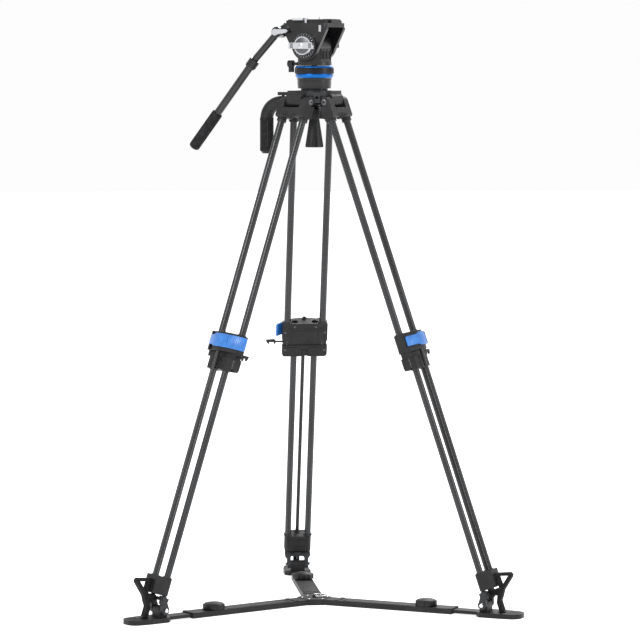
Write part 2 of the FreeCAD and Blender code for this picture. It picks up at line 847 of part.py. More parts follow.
def spreader_hub():
    """The centre piece: three flats for the arms and a lug for the lift ring."""
    corners = []
    for azimuth in LEGS.values():
        turn = Rotation(Vector(0, 0, 1), azimuth)
        for side in SIDES:
            corner = turn.multVec(Vector(dim("hub_flat").value, side * arm_half.value, 0))
            corners.append((corner.x, corner.y))
    plate = prism("XY_Plane", corners, 0, arm_top + 1)
    height = arm_top + 1 + dim("ring_wire") + 0.8
    lug = cut(fuse(box((-5, -3, arm_top), (5, 3, height)),
                   cylinder(5, 6, 0, -3, height, ALONG_Y)),
              cylinder(dim("ring_wire") + 0.7, 6, 0, -3, height, ALONG_Y))
    lug.Placement = around(30)
    return fuse(plate, lug), height


hub, ring_height = spreader_hub()
subpart("spreader_hub", hub)
subpart("spreader_arms", group(*[spreader_arm(azimuth) for azimuth in LEGS.values()]))

ring = doc.addObject("Part::Torus", fresh("ring"))
bind(ring, Radius1=dim("ring_radius"), Radius2=dim("ring_wire"))
subpart("lift_ring", ring, around(30, dim("ring_radius").value, ring_height.value))


def arm_lock_knob(azimuth):
    """A scalloped hand knob on top of the arm, with its clamp stud."""
    radius, height = dim("lock_knob_radius"), dim("lock_knob_height")
    disc = turned([
        (0, 0), (radius - 3, 0), (radius, 2), (radius, height - 5), (radius - 6, height - 1),
        (radius - 12, height), (0, height)])
    scallops = []
    for step in range(8):
        tool = cylinder(7, height + 2)
        for key in "xyz":
            tool.setExpression(f"Placement.Base.{key}", None)
        tool.Placement = around(step * 45 + 22.5, radius.value + 4, -1)
        scallops.append(tool)
    stud = cylinder(5.5, 3, 0, 0, -3)
    place = around(azimuth, dim("lock_knob_position").value, (arm_top + gap).value)
    return subpart(f"arm_lock_knob_{leg}", fuse(cut(disc, *scallops), stud), place)


for leg, azimuth in LEGS.items():
    arm_lock_knob(azimuth)

# ---------------------------------------------------------------- head

ball_centre = dim("ball_centre")
cup_top = dim("cup_top")
ring_low = cup_top + gap
ring_top = cup_top + dim("drag_ring_height")
drum_low = ring_top + gap
drum_top = drum_low + dim("drum_height")
ball_radius = dim("bowl_inner_radius") - gap
bowl_outer = dim("bowl_inner_radius") + dim("bowl_wall")
washer_inner = bowl_outer + gap
washer_outer = washer_inner + 5
handle_top = ball_centre - washer_outer - gap * 2
shaft = size(8)
axis_z = dim("tilt_axis")

lower_ball = cut(ball(ball_radius, 0, 0, ball_centre),
                 box((-50, -50, ball_centre), (50, 50, ball_centre + 50)))
cup = cone(dim("cup_foot_radius"), dim("cup_radius"), cup_top - ball_centre, 0, 0, ball_centre)
groove = cut(cylinder(dim("cup_radius") + 1, 2.5, 0, 0, cup_top - 9),
             cylinder(dim("cup_radius") - 2, 2.5, 0, 0, cup_top - 9))
stud_bottom = handle_top - 60
half_ball = fuse(
    cut(cup, groove), lower_ball,
    cylinder(dim("spindle_radius"), ring_top - cup_top, 0, 0, cup_top),
    cylinder(shaft, axis_z - 30 - ring_top, 0, 0, ring_top),
    cylinder(dim("stud_radius"), ball_centre - 20 - stud_bottom, 0, 0, stud_bottom))
subpart("half_ball", half_ball, head_place)

washer_bounds = cut(cylinder(24, 30, 0, 0, ball_centre - washer_outer - 1),
                    cylinder(11, 40, 0, 0, ball_centre - washer_outer - 5))
washer = common(cut(ball(washer_outer, 0, 0, ball_centre),
                    ball(washer_inner, 0, 0, ball_centre)), washer_bounds)
subpart("clamp_washer", washer, head_place)

end_radius = dim("tiedown_end_radius")
handle_bottom = handle_top - dim("tiedown_length")
knob = turned([
    (0, handle_bottom), (end_radius - 2, handle_bottom), (end_radius, handle_bottom + 2),
    (end_radius - 1, handle_bottom + 10), (14, handle_top - 34), (15, handle_top - 6),
    (12, handle_top), (0, handle_top)])
flutes = []
for step in range(6):
    tool = cone(7.5, 3, dim("tiedown_length") - 44)
    for key in "xyz":
        tool.setExpression(f"Placement.Base.{key}", None)
    lean = Placement(Vector(27.5, 0, handle_bottom.value - 1), Rotation(Vector(0, 1, 0), -8.5))
    tool.Placement = around(step * 60).multiply(lean)
    flutes.append(tool)
stud_hole = cylinder(dim("stud_radius") + gap, 90, 0, 0, stud_bottom - 2)
subpart("tie_down_handle", cut(knob, stud_hole, *flutes), head_place)

band = dim("ring_band_radius")
band_low, band_top = ring_low + 11.5, ring_top - 6
grip_band = turned([
    (28, band_low), (band - 1, band_low), (band, band_low + 1), (band, band_top - 1),
    (band - 1, band_top), (28, band_top)])
lower_trim = turned([
    (28, ring_low), (band - 5, ring_low), (band - 1, ring_low + 8), (band - 1.5, ring_low + 9.5),
    (band - 3, ring_low + 9.5), (band - 3, band_low), (28, band_low)])
upper_trim = turned([
    (28, band_top), (band - 1, band_top), (band - 4, ring_top), (28, ring_top)])
rings = [cut(piece, cylinder(dim("spindle_radius") + gap, 60, 0, 0, ring_low - 5))
         for piece in (grip_band, lower_trim, upper_trim)]
subpart("pan_drag_ring", group(*rings), head_place)

cheek_in, cheek_out = dim("cheek_inner"), dim("cheek_outer")
block_half = cheek_in - 0.5
drum = cylinder(dim("drum_radius"), dim("drum_height"), 0, 0, drum_low)
core = prism("XZ_Plane", [
    (-33, drum_low), (36, drum_low), (36, axis_z - 8), (24, axis_z + 20), (-24, axis_z + 20),
    (-33, axis_z)], -block_half, block_half)
core_round = cylinder(36, block_half * 2, 0, -block_half, axis_z, ALONG_Y)
vent_slots = [box((33, offset - 3, drum_top + 8), (40, offset + 3, axis_z - 14))
              for offset in (-18, 0, 18)]
keep_in = cylinder(dim("drum_radius"), 120, 0, 0, drum_low)
side_bore = cylinder(14 + gap, 200, 0, -100, axis_z, ALONG_Y)
lock_hole = cylinder(4 + pin_gap, 16, -dim("drum_radius") - 2, -14, drum_low + 5, ALONG_X)
housing = cut(fuse(drum, common(fuse(core, core_round), keep_in)),
              cylinder(shaft + pin_gap, 80, 0, 0, drum_low - 5), side_bore, lock_hole, *vent_slots)
subpart("pan_housing", housing, head_place)

lock_z = drum_low + 5
lock_x = -dim("drum_radius") - 10
pan_lock = fuse(
    cylinder(4, 22, lock_x, -14, lock_z, ALONG_X),
    cylinder(9.5, 15, lock_x - 15, -14, lock_z, ALONG_X),
    box((lock_x - 12, -20, lock_z - 23), (lock_x - 1, -8, lock_z - 5)))
subpart("pan_lock_knob", pan_lock, head_place)

front, rear = dim("platform_front"), dim("platform_rear")
deck_low = dim("platform_bottom")
deck_top = deck_low + dim("platform_thickness")
plate_half_width = dim("camera_plate_width") / 2
radius = dim("cheek_radius")


def cheek(side):
    """A side plate: round about the tilt axis, flaring up to the platform."""
    low, high = (cheek_in, cheek_out) if side > 0 else (-cheek_out, -cheek_in)
    flare = prism("XZ_Plane", [
        (-radius * 0.92, axis_z - 15), (radius * 0.92, axis_z - 15), (front, deck_low - 6),
        (front, deck_low), (-rear, deck_low), (-rear, deck_low - 6)], low, high)
    disc = cylinder(radius, high - low, 0, low, axis_z, ALONG_Y)
    boss_start = cheek_out if side > 0 else -cheek_out - 6
    boss = cylinder(34, 6, 0, boss_start, axis_z, ALONG_Y)
    return fuse(flare, disc, boss)


deck = prism("XY_Plane", [
    (-rear, -cheek_out), (front, -cheek_out), (front, cheek_out), (-rear, cheek_out)],
    deck_low, deck_top, rounds=((0, 6), (1, 6), (2, 6), (3, 6)))
rails = [box((-rear + 6, low, deck_top), (front - 6, high, deck_top + 7))
         for low, high in ((plate_half_width + gap, cheek_out - 8),
                           (8 - cheek_out, -plate_half_width - gap))]
rosette_x, rosette_z = -dim("rosette_back"), dim("rosette_height")
bracket = prism("XZ_Plane", [
    (rosette_x - 4, rosette_z - 15), (-rear + 8, deck_low - 22), (-rear + 8, deck_top),
    (-rear - 2, deck_top), (rosette_x - 6, rosette_z + 13)], -cheek_in + 4, -cheek_in + 20)
rosette = cylinder(dim("rosette_radius"), 20, rosette_x, -cheek_in, rosette_z, ALONG_Y)
tilt_shaft = cylinder(14, cheek_out * 2, 0, -cheek_out, axis_z, ALONG_Y)
catch_hole = box((44 - gap, -cheek_out - 1, deck_low - 12), (51 + gap, 9 - cheek_out, deck_low + 6))
dial_bore = cylinder(5 + pin_gap, 14, 0, -cheek_out - 6, axis_z, ALONG_Y)
tilt_lock_bore = cylinder(5 + pin_gap, 14, 0, cheek_out - 8, axis_z, ALONG_Y)
lever_bore = cylinder(3 + pin_gap, 40, 0, 5 - cheek_out, deck_low - 1)
rosette_bore = cylinder(4 + pin_gap, 16, rosette_x, -cheek_in, rosette_z, ALONG_Y)
cradle = cut(fuse(deck, *rails, cheek(-1), cheek(1), bracket, rosette, tilt_shaft),
             catch_hole, dial_bore, tilt_lock_bore, lever_bore, rosette_bore)
subpart("tilt_cradle", cradle, head_place)

boss_face = cheek_out + 6
dial = fuse(
    cylinder(dim("dial_radius"), 10, 0, -boss_face - gap - 10, axis_z, ALONG_Y),
    cylinder(5, 12, 0, -boss_face - 1, axis_z, ALONG_Y),
    prism("XZ_Plane", [
        (-37, axis_z - 8), (34, axis_z - 9), (36, axis_z), (34, axis_z + 9), (-37, axis_z + 8)],
        -boss_face - gap - 19, -boss_face - gap - 9))
subpart("drag_dial", dial, head_place)

tilt_lock = fuse(
    cylinder(15, 13, 0, boss_face + gap, axis_z, ALONG_Y),
    cylinder(5, 13, 0, boss_face - 12, axis_z, ALONG_Y),
    box((0, boss_face + gap + 3, axis_z - 5), (38, boss_face + gap + 12, axis_z + 5)))
subpart("tilt_lock_knob", tilt_lock, head_place)

plate_low = deck_top + gap
plate_top = deck_top + dim("camera_plate_thickness")
screw_x = size(17)
camera_plate = cut(
    box((-67, -plate_half_width, plate_low), (67, plate_half_width, plate_top)),
    cylinder(dim("camera_screw_radius") + gap, 30, screw_x, 0, plate_low - 5),
    cylinder(8 + gap, 4 + gap, screw_x, 0, plate_low - 0.5),
    cylinder(2.2, 30, screw_x + 14, 0, plate_low - 5))
subpart("camera_plate", camera_plate, head_place)
camera_screw = fuse(
    cylinder(dim("camera_screw_radius"), dim("camera_screw_stand"), screw_x, 0, plate_top + 0.4),
    cylinder(2.6, plate_top - plate_low + 1, screw_x, 0, plate_low + 0.2),
    cylinder(8, 3, screw_x, 0, plate_low + 0.2))
subpart("camera_screw", camera_screw, head_place)

lever_y = -cheek_out - 6
plate_lock = fuse(
    cylinder(3, 22, 0, 5 - cheek_out, deck_low + 1),
    cylinder(5, 6, 0, 5 - cheek_out, deck_top + 7 + gap),
    prism("XY_Plane", [(-4, lever_y + 13), (-4, lever_y), (-34, lever_y - 2), (-34, lever_y + 5),
                       (-8, lever_y + 7), (4, -cheek_out + 9), (4, -cheek_out + 1)],
          deck_top + 7 + gap, deck_top + 13))
subpart("plate_lock_lever", plate_lock, head_place)
catch = box((44, -cheek_out - 3, deck_low - 12 + gap), (51, 5 - cheek_out, deck_low + 6 - gap))
subpart("safety_catch", group(catch), head_place)

# ---------------------------------------------------------------- pan handle

eye_y = -cheek_in - gap
slope_1 = math.radians(dim("rod_slope").value)
elbow_x = rosette_x.value - math.cos(slope_1) * dim("rod_length").value
elbow_z = rosette_z.value - math.sin(slope_1) * dim("rod_length").value
eye_width = dim("eye_width")
handle_y = (eye_y - eye_width / 2).value
first_run = Placement(Vector(rosette_x.value, handle_y, rosette_z.value),
                      Rotation(Vector(0, 1, 0), -90 - dim("rod_slope").value))
second_run = Placement(Vector(elbow_x, handle_y, elbow_z),
                       Rotation(Vector(0, 1, 0), -90 - dim("tube_slope").value))


def along(run, radius, start, length, end_radius=None):
    """A round piece on one of the handle's two straight runs."""
    if end_radius is None:
        obj = cylinder(radius, length)
    else:
        obj = cone(radius, end_radius, length)
    for key in "xyz":
        obj.setExpression(f"Placement.Base.{key}", None)
    obj.Placement = run.multiply(at(0, 0, start))
    return obj


rod_radius = dim("rod_radius")
eye = cylinder(dim("rosette_radius"), eye_width, rosette_x, eye_y - eye_width, rosette_z, ALONG_Y)
elbow_ball = ball(rod_radius)
for key in "xyz":
    elbow_ball.setExpression(f"Placement.Base.{key}", None)
elbow_ball.Placement = Placement(Vector(elbow_x, handle_y, elbow_z), Rotation())
inner_rod = rod_radius - 2.5
handle_rod = cut(
    fuse(eye, along(first_run, rod_radius, 0, dim("rod_length")), elbow_ball,
         along(second_run, rod_radius, 0, 6),
         along(second_run, inner_rod, 0, dim("grip_tube_length") - 20)),
    cylinder(4 + pin_gap, 50, rosette_x, eye_y - 30, rosette_z, ALONG_Y))
subpart("handle_rod", handle_rod, head_place)

lever_face = eye_y - eye_width - gap
clamp_lever = fuse(
    cylinder(4, eye_width + 11, rosette_x, lever_face - 1, rosette_z, ALONG_Y),
    cylinder(9, 9, rosette_x, lever_face - 9, rosette_z, ALONG_Y),
    prism("XZ_Plane", [
        (rosette_x, rosette_z - 7), (rosette_x + 36, rosette_z - 1), (rosette_x + 40, rosette_z + 4),
        (rosette_x + 34, rosette_z + 8), (rosette_x, rosette_z + 8)],
        lever_face - 9, lever_face - 2))
subpart("clamp_lever", clamp_lever, head_place)

tube_length = dim("grip_tube_length")
grip_tube = dim("grip_tube_radius")
handle_tube = cut(
    fuse(along(second_run, grip_tube, 7, tube_length),
         along(second_run, grip_tube + 4, 7, 26)),
    along(second_run, inner_rod + gap, 0, tube_length))
subpart("handle_tube", handle_tube, head_place)
grip_start = tube_length + 7 - 4
grip = fuse(
    along(second_run, dim("grip_radius"), grip_start + 4, dim("grip_length") - 10),
    along(second_run, dim("grip_radius"), grip_start + dim("grip_length") - 6, 6,
          dim("grip_radius") - 3),
    along(second_run, dim("grip_radius") - 3, grip_start, 4, dim("grip_radius")))
subpart("handle_grip", cut(grip, along(second_run, grip_tube, 0, tube_length + 7)), head_place)

# ---------------------------------------------------------------- check and write

doc.recompute()
for obj in doc.Objects:
    if "Invalid" in obj.State or "Error" in obj.State:
        raise RuntimeError(f"{obj.Label} failed: {obj.State}")
for obj in subparts:
    if obj.Shape.isNull() or not obj.Shape.isValid():
        raise RuntimeError(f"{obj.Label} has no valid shape")

os.makedirs("parts", exist_ok=True)
for obj in subparts:
    obj.Shape.exportStep(f"parts/{obj.Label}.step")
    print(f"{obj.Label:20s} {len(obj.Shape.Solids)} solids {obj.Shape.Volume / 1000:9.2f} cm3")
print(len(subparts), "sub-parts")
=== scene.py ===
import json
import math

import bpy
from mathutils import Matrix, Vector


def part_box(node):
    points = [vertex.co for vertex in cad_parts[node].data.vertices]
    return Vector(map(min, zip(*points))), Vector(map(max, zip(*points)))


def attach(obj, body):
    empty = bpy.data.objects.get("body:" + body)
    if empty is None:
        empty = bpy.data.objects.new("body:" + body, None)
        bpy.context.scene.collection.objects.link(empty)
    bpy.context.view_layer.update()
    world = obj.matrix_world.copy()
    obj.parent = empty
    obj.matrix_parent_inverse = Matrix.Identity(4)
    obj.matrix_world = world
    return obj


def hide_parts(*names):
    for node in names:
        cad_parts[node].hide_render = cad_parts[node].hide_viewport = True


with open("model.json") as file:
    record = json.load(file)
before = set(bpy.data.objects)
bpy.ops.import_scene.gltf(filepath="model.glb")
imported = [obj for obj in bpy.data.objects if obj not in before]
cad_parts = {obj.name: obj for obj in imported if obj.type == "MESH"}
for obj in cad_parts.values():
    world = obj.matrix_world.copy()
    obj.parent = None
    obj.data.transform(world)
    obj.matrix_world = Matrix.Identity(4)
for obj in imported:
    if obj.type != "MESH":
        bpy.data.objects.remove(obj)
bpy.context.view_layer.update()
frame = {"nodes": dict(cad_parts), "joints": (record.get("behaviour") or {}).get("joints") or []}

# %% [markdown]
# A tall video tripod: three legs of carbon tubes, cast joints between them, a fluid head on top
# and a flat spreader on the ground.  The exact solids come with the frame, already in place and in
# metres.  This first step only asks the frame where things are: each leg's own axes and the head's
# axes are read from the joints, because every detail below is easiest to place along a leg or along
# the head, not along the room.

# %% Axes of the legs and of the head
joints = {joint["name"]: joint for joint in frame["joints"]}
LEGS = (1, 2, 3)
MM = 0.001


def axes(origin, x_axis, y_axis, z_axis):
    """A matrix that takes local coordinates to the object's frame."""
    turn = Matrix((x_axis, y_axis, z_axis)).transposed().to_4x4()
    return Matrix.Translation(origin) @ turn


def leg_axes(leg):
    """Origin on the hip pin, X away from the tripod, Y along the pin, -Z down the leg."""
    up = -Vector(joints[f"leg_{leg}_extension"]["axis"])
    along_pin = -Vector(joints[f"leg_{leg}_spread"]["axis"])
    return axes(joints[f"leg_{leg}_spread"]["pos_m"], along_pin.cross(up), along_pin, up)


def ground_axes(leg):
    """Origin at the foot's axle line on the ground, X away from the tripod."""
    outwards = Vector(joints[f"foot_{leg}_reach"]["axis"])
    axle = Vector(joints[f"saddle_{leg}_rock"]["pos_m"])
    up = Vector((0, 0, 1))
    return axes((axle.x, axle.y, 0), outwards, up.cross(outwards), up)


leg_frame = {leg: leg_axes(leg) for leg in LEGS}
foot_frame = {leg: ground_axes(leg) for leg in LEGS}
tilt_line = Vector(joints["tilt"]["axis"])
tilt_centre = Vector(joints["tilt"]["pos_m"])
up = Vector((0, 0, 1))
head_frame = axes(tilt_centre, tilt_line.cross(up), tilt_line, up)
hip_height = joints["leg_1_spread"]["pos_m"][2]
crown_frame = Matrix.Translation((0, 0, hip_height))
print("leg 1 leans", round(math.degrees(math.acos(leg_frame[1].col[2][2])), 2), "degrees")


def place(matrix, x=0.0, y=0.0, z=0.0, turn=None):
    """A local frame at x, y, z (millimetres) of another frame."""
    moved = matrix @ Matrix.Translation(Vector((x, y, z)) * MM)
    return moved if turn is None else moved @ turn


def tip(axis, degrees):
    return Matrix.Rotation(math.radians(degrees), 4, axis)


ALONG_Y = tip("X", -90)

# %% [markdown]
# The camera stands nine metres back with a long lens, a little below the head and looking slightly
# down.  A long lens from far away keeps the legs almost parallel to what the eye expects of a
# product picture, and it is made first, so that every later piece can be judged in the real view.

# %% Camera
VIEW_TURN = math.radians(-5.64)
VIEW_PITCH = math.radians(-4.41)
VIEW_DISTANCE = 9.0
VIEW_HEIGHT = 1.480
VIEW_SIDESTEP = 0.0155
FOCAL_MM = 184.5

lens = bpy.data.cameras.new("camera")
lens.lens = FOCAL_MM
lens.sensor_width = 36.0
lens.clip_end = 60.0
camera = bpy.data.objects.new("camera", lens)
bpy.context.scene.collection.objects.link(camera)
ahead = Vector((-math.sin(VIEW_TURN), math.cos(VIEW_TURN), 0))
sideways = Vector((math.cos(VIEW_TURN), math.sin(VIEW_TURN), 0))
camera.location = -ahead * VIEW_DISTANCE + sideways * VIEW_SIDESTEP + up * VIEW_HEIGHT
camera.rotation_euler = (math.radians(90) + VIEW_PITCH, 0, VIEW_TURN)
bpy.context.scene.camera = camera
print("camera at", [round(value, 3) for value in camera.location])

# %% [markdown]
# Finishes are built from nodes, but node graphs are hard to read as code.  So one small class wraps
# a socket and lets ordinary arithmetic add the Math nodes: `1 - mask * 0.4` is then exactly what it
# looks like.  A second class holds one material; its single `node` method makes any other node.


# %% Shader arithmetic
class Signal:
    """One value in a material's node tree."""

    def __init__(self, finish, socket):
        self.finish = finish
        self.socket = socket

    def _math(self, operation, *operands):
        return self.finish.node("ShaderNodeMath", {"operation": operation},
                                dict(enumerate(operands)))

    def __add__(self, other):
        return self._math("ADD", self, other)

    def __radd__(self, other):
        return self._math("ADD", other, self)

    def __sub__(self, other):
        return self._math("SUBTRACT", self, other)

    def __rsub__(self, other):
        return self._math("SUBTRACT", other, self)

    def __mul__(self, other):
        return self._math("MULTIPLY", self, other)

    def __rmul__(self, other):
        return self._math("MULTIPLY", other, self)

    def __truediv__(self, other):
        return self._math("DIVIDE", self, other)

    def __mod__(self, other):
        return self._math("FLOORED_MODULO", self, other)

    def __gt__(self, other):
        return self._math("GREATER_THAN", self, other)

    def floor(self):
        return self._math("FLOOR", self)

    def sine(self):
        return self._math("SINE", self)

    def absolute(self):
        return self._math("ABSOLUTE", self)

    def smooth(self, low, high):
        """0 below low, 1 above high, and an even ramp between them."""
        return self.finish.node("ShaderNodeMapRange", {"interpolation_type": "SMOOTHSTEP"},
                                {"Value": self, "From Min": low, "From Max": high})


class Finish:
    """A material: constants go straight onto its shader, everything else through node()."""

    def __init__(self, name, **constants):
        self.material = bpy.data.materials.new(name)
        self.material.use_nodes = True
        self.nodes = self.material.node_tree.nodes
        self.links = self.material.node_tree.links
        self.shader = self.nodes["Principled BSDF"]
        for key, value in constants.items():
            self.drive(key.replace("_", " ").title().replace("Ior", "IOR"), value)

    def drive(self, socket, value):
        """Set one of the shader's sockets to a constant or to a Signal."""
        target = self.shader.inputs[socket]
        if isinstance(value, Signal):
            self.links.new(value.socket, target)
        elif target.type == "RGBA":
            target.default_value = (*value, 1.0)
        else:
            target.default_value = value

    def node(self, kind, settings=None, sockets=None, output=0):
        """Add a node: its settings first, then the values or links of its sockets."""
        made = self.nodes.new(kind)
        for key, value in (settings or {}).items():
            if key == "stops":
                ramp = made.color_ramp.elements
                while len(ramp) < len(value):
                    ramp.new(1.0)
                for stop, (position, colour) in zip(ramp, value):
                    stop.position = position
                    stop.color = (*colour, 1.0)
            else:
                setattr(made, key, value)
        for key, value in (sockets or {}).items():
            if isinstance(value, Signal):
                self.links.new(value.socket, made.inputs[key])
            elif made.inputs[key].type == "RGBA":
                made.inputs[key].default_value = (*value, 1.0)
            else:
                made.inputs[key].default_value = value
        return Signal(self, made.outputs[output])

    def position(self):
        return self.node("ShaderNodeTexCoord", output="Object")

    def noise(self, scale, detail=2.0, roughness=0.5, where=None):
        return self.node("ShaderNodeTexNoise", {"noise_dimensions": "3D"}, {
            "Vector": where or self.position(), "Scale": scale, "Detail": detail,
            "Roughness": roughness})

    def mix(self, factor, first, second):
        """Blend two colours."""
        return self.node("ShaderNodeMix", {"data_type": "RGBA"},
                         {0: factor, 6: first, 7: second}, output=2)

    def bump(self, height, depth, strength=1.0):
        """Raise the surface by a height signal; depth is in metres."""
        raised = self.node("ShaderNodeBump", {}, {
            "Height": height, "Distance": depth, "Strength": strength})
        self.drive("Normal", raised)


print("shader helpers ready")

# %% [markdown]
# Most of the castings are painted with a fine wrinkle finish.  Up close that is a grain of about
# half a millimetre, a slightly uneven sheen, and edges rubbed a little brighter by handling.  Two
# noises give the grain and the sheen; the moulded plastics use the same recipe with a finer grain.


# %% Wrinkle paint and moulded plastic
def grained(name, colour, grain_per_m, depth, roughness, coat=0.0, shine=0.22):
    """A dark matte finish with a fine grain and an uneven sheen."""
    finish = Finish(name, roughness=roughness, coat_weight=coat, coat_roughness=0.3,
                    specular_ior_level=shine)
    grain = finish.noise(grain_per_m, 3.0, 0.6)
    clouds = finish.noise(22.0, 2.0)
    bright = tuple(channel * 1.55 + 0.004 for channel in colour)
    finish.drive("Base Color", finish.mix(clouds.smooth(0.38, 0.68) * 0.6, colour, bright))
    finish.drive("Roughness", roughness - 0.08 + clouds * 0.14 + grain * 0.05)
    finish.bump(grain.smooth(0.35, 0.65), depth, 0.55)
    return finish.material


casting_paint = grained("casting_paint", (0.0095, 0.0095, 0.0105), 1500.0, 0.00016, 0.46)
moulded_black = grained("moulded_black", (0.008, 0.0082, 0.0088), 2600.0, 0.00007, 0.40, 0.04)
moulded_grey = grained("moulded_grey", (0.024, 0.025, 0.027), 2400.0, 0.00008, 0.42)
arm_black = grained("arm_black", (0.009, 0.009, 0.0098), 1900.0, 0.00012, 0.44)
machined_black = grained("machined_black", (0.0065, 0.0065, 0.0075), 3800.0, 0.00003, 0.27, 0.08,
                         0.3)
print("grained finishes made")

# %% [markdown]
# Carbon tubes are wound and wrapped: a diagonal weave of small tows under a satin lacquer.  Each
# tow takes light a little differently from its neighbour, which is what the eye reads as carbon.
# The tubes built below carry their own surface coordinates in millimetres (round the tube, along
# the tube), so the weave is plain arithmetic on those two numbers: stepping cells that shift by one
# at every row make the diagonal twill.


# %% Carbon twill
def carbon_twill(name, tow_mm=2.6):
    finish = Finish(name, coat_weight=0.22, coat_roughness=0.14, specular_ior_level=0.3)
    place_on_tube = finish.node("ShaderNodeSeparateXYZ", {}, {
        0: finish.node("ShaderNodeTexCoord", output="UV")})
    round_it = place_on_tube
    along = Signal(finish, place_on_tube.socket.node.outputs[1])
    column = (round_it / tow_mm).floor()
    row = (along / tow_mm).floor()
    twill = ((column + row) % 4.0) > 1.5
    across_tow = ((along / tow_mm) % 1.0 - 0.5).absolute()
    along_tow = ((round_it / tow_mm) % 1.0 - 0.5).absolute()
    crown_of_tow = 1.0 - (twill * across_tow + (1.0 - twill) * along_tow) * 1.6
    bands = (along / 46.0 + round_it / 30.0).sine() * 0.5 + 0.5
    tone = twill * 0.55 + crown_of_tow * 0.25 + bands * 0.2
    finish.drive("Base Color", finish.mix(tone, (0.0035, 0.0035, 0.004), (0.03, 0.031, 0.034)))
    finish.drive("Roughness", 0.30 + twill * 0.12)
    finish.bump(crown_of_tow, 0.00006, 0.5)
    return finish.material


carbon = carbon_twill("carbon")
print("carbon weave made")

# %% [markdown]
# The bright accents: blue anodised rings round the head's base, satin alloy on the tilt dial, and
# polished steel.  Anodising is a dyed, slightly milky metal, so it is metallic with a moderate
# roughness and a faint turned grain that runs round the part.


# %% Metals
def turned_metal(name, colour, roughness, metallic=1.0, lines_per_m=5200.0):
    """Metal off a lathe: a very fine grain that follows the height of the part."""
    finish = Finish(name, metallic=metallic)
    stretched = finish.node("ShaderNodeVectorMath", {"operation": "MULTIPLY"},
                            {0: finish.position(), 1: (0.05, 0.05, 1.0)})
    grain = finish.noise(lines_per_m, 2.0, 0.5, stretched)
    patches = finish.noise(40.0, 2.0)
    darker = tuple(channel * 0.72 for channel in colour)
    finish.drive("Base Color", finish.mix(grain * 0.5 + patches * 0.4, colour, darker))
    finish.drive("Roughness", roughness - 0.05 + patches * 0.12 + grain * 0.05)
    finish.bump(grain, 0.00002, 0.35)
    return finish.material


blue_anodised = turned_metal("blue_anodised", (0.015, 0.13, 0.44), 0.30)
satin_alloy = turned_metal("satin_alloy", (0.52, 0.53, 0.55), 0.32)
dark_alloy = turned_metal("dark_alloy", (0.11, 0.11, 0.12), 0.36)
polished_steel = turned_metal("polished_steel", (0.72, 0.72, 0.74), 0.12)
print("metals made")


# %% Blue moulding, rubber, foam and gloss tube
def moulded_blue_finish():
    """The clamp levers: glossy dyed plastic with a faint flow pattern."""
    finish = Finish("moulded_blue", coat_weight=0.25, coat_roughness=0.2)
    flow = finish.noise(60.0, 3.0)
    grain = finish.noise(3000.0, 2.0)
    finish.drive("Base Color", finish.mix(flow.smooth(0.35, 0.7), (0.012, 0.125, 0.42),
                                          (0.022, 0.17, 0.52)))
    finish.drive("Roughness", 0.32 + grain * 0.1)
    finish.bump(grain, 0.00004, 0.4)
    return finish.material


def rubber_finish(name, colour, pores_per_m, depth):
    """Rubber and foam: very rough, with open pores."""
    finish = Finish(name, specular_ior_level=0.15)
    pores = finish.node("ShaderNodeTexVoronoi", {"feature": "F1"}, {
        "Vector": finish.position(), "Scale": pores_per_m})
    dust = finish.noise(90.0, 3.0)
    greyer = tuple(channel * 1.9 + 0.004 for channel in colour)
    finish.drive("Base Color", finish.mix(dust.smooth(0.4, 0.75), colour, greyer))
    finish.drive("Roughness", 0.62 + dust * 0.25)
    finish.bump(pores, depth, 0.6)
    return finish.material


moulded_blue = moulded_blue_finish()
soft_rubber = rubber_finish("soft_rubber", (0.0075, 0.0075, 0.008), 1600.0, 0.0001)
foam = rubber_finish("foam", (0.009, 0.009, 0.0098), 900.0, 0.0003)
gloss_black = grained("gloss_black", (0.008, 0.008, 0.009), 5200.0, 0.000012, 0.20, 0.3, 0.3)
print("soft and glossy finishes made")

# %% [markdown]
# Most CAD nodes already have the right shape, so they stay and only receive a finish.  A real
# casting has no knife edges: a small bevel on each sharp edge catches a line of light and is what
# makes a dark object readable.  The bevel is a modifier, so the exact solid underneath stays as
# it is.

# %% Finishes and soft edges on the CAD nodes
NODE_FINISH = {
    "crown": casting_paint, "shoulder": casting_paint, "waist_clamp": casting_paint,
    "waist_block": casting_paint, "ankle_block": casting_paint, "carry_handle": moulded_black,
    "port_insert": moulded_grey, "hinge_pins": polished_steel, "flip_lever": moulded_blue,
    "wing_screw": moulded_black, "foot_yoke": moulded_grey, "ankle_strap": soft_rubber,
    "foot_plate": arm_black, "spreader_hub": arm_black, "spreader_arms": arm_black,
    "arm_lock_knob": moulded_black, "lift_ring": polished_steel, "half_ball": machined_black,
    "clamp_washer": machined_black, "tie_down_handle": moulded_black,
    "pan_housing": machined_black, "pan_lock_knob": moulded_black,
    "tilt_cradle": machined_black, "drag_dial": satin_alloy, "tilt_lock_knob": moulded_black,
    "camera_plate": machined_black, "camera_screw": polished_steel,
    "plate_lock_lever": satin_alloy, "safety_catch": polished_steel, "handle_rod": gloss_black,
    "clamp_lever": satin_alloy, "handle_tube": gloss_black,
}
SOFT_EDGE = {"spreader_arms": 1.2, "foot_plate": 2.0, "waist_clamp": 1.2, "waist_block": 1.2,
             "tilt_cradle": 1.0, "crown": 0.9, "shoulder": 1.2, "ankle_block": 1.2,
             "arm_lock_knob": 0.8, "flip_lever": 0.7, "ankle_strap": 1.0}


def family(node):
    """The name without its leg number."""
    return node.rstrip("123").rstrip("_") if node[-1].isdigit() else node


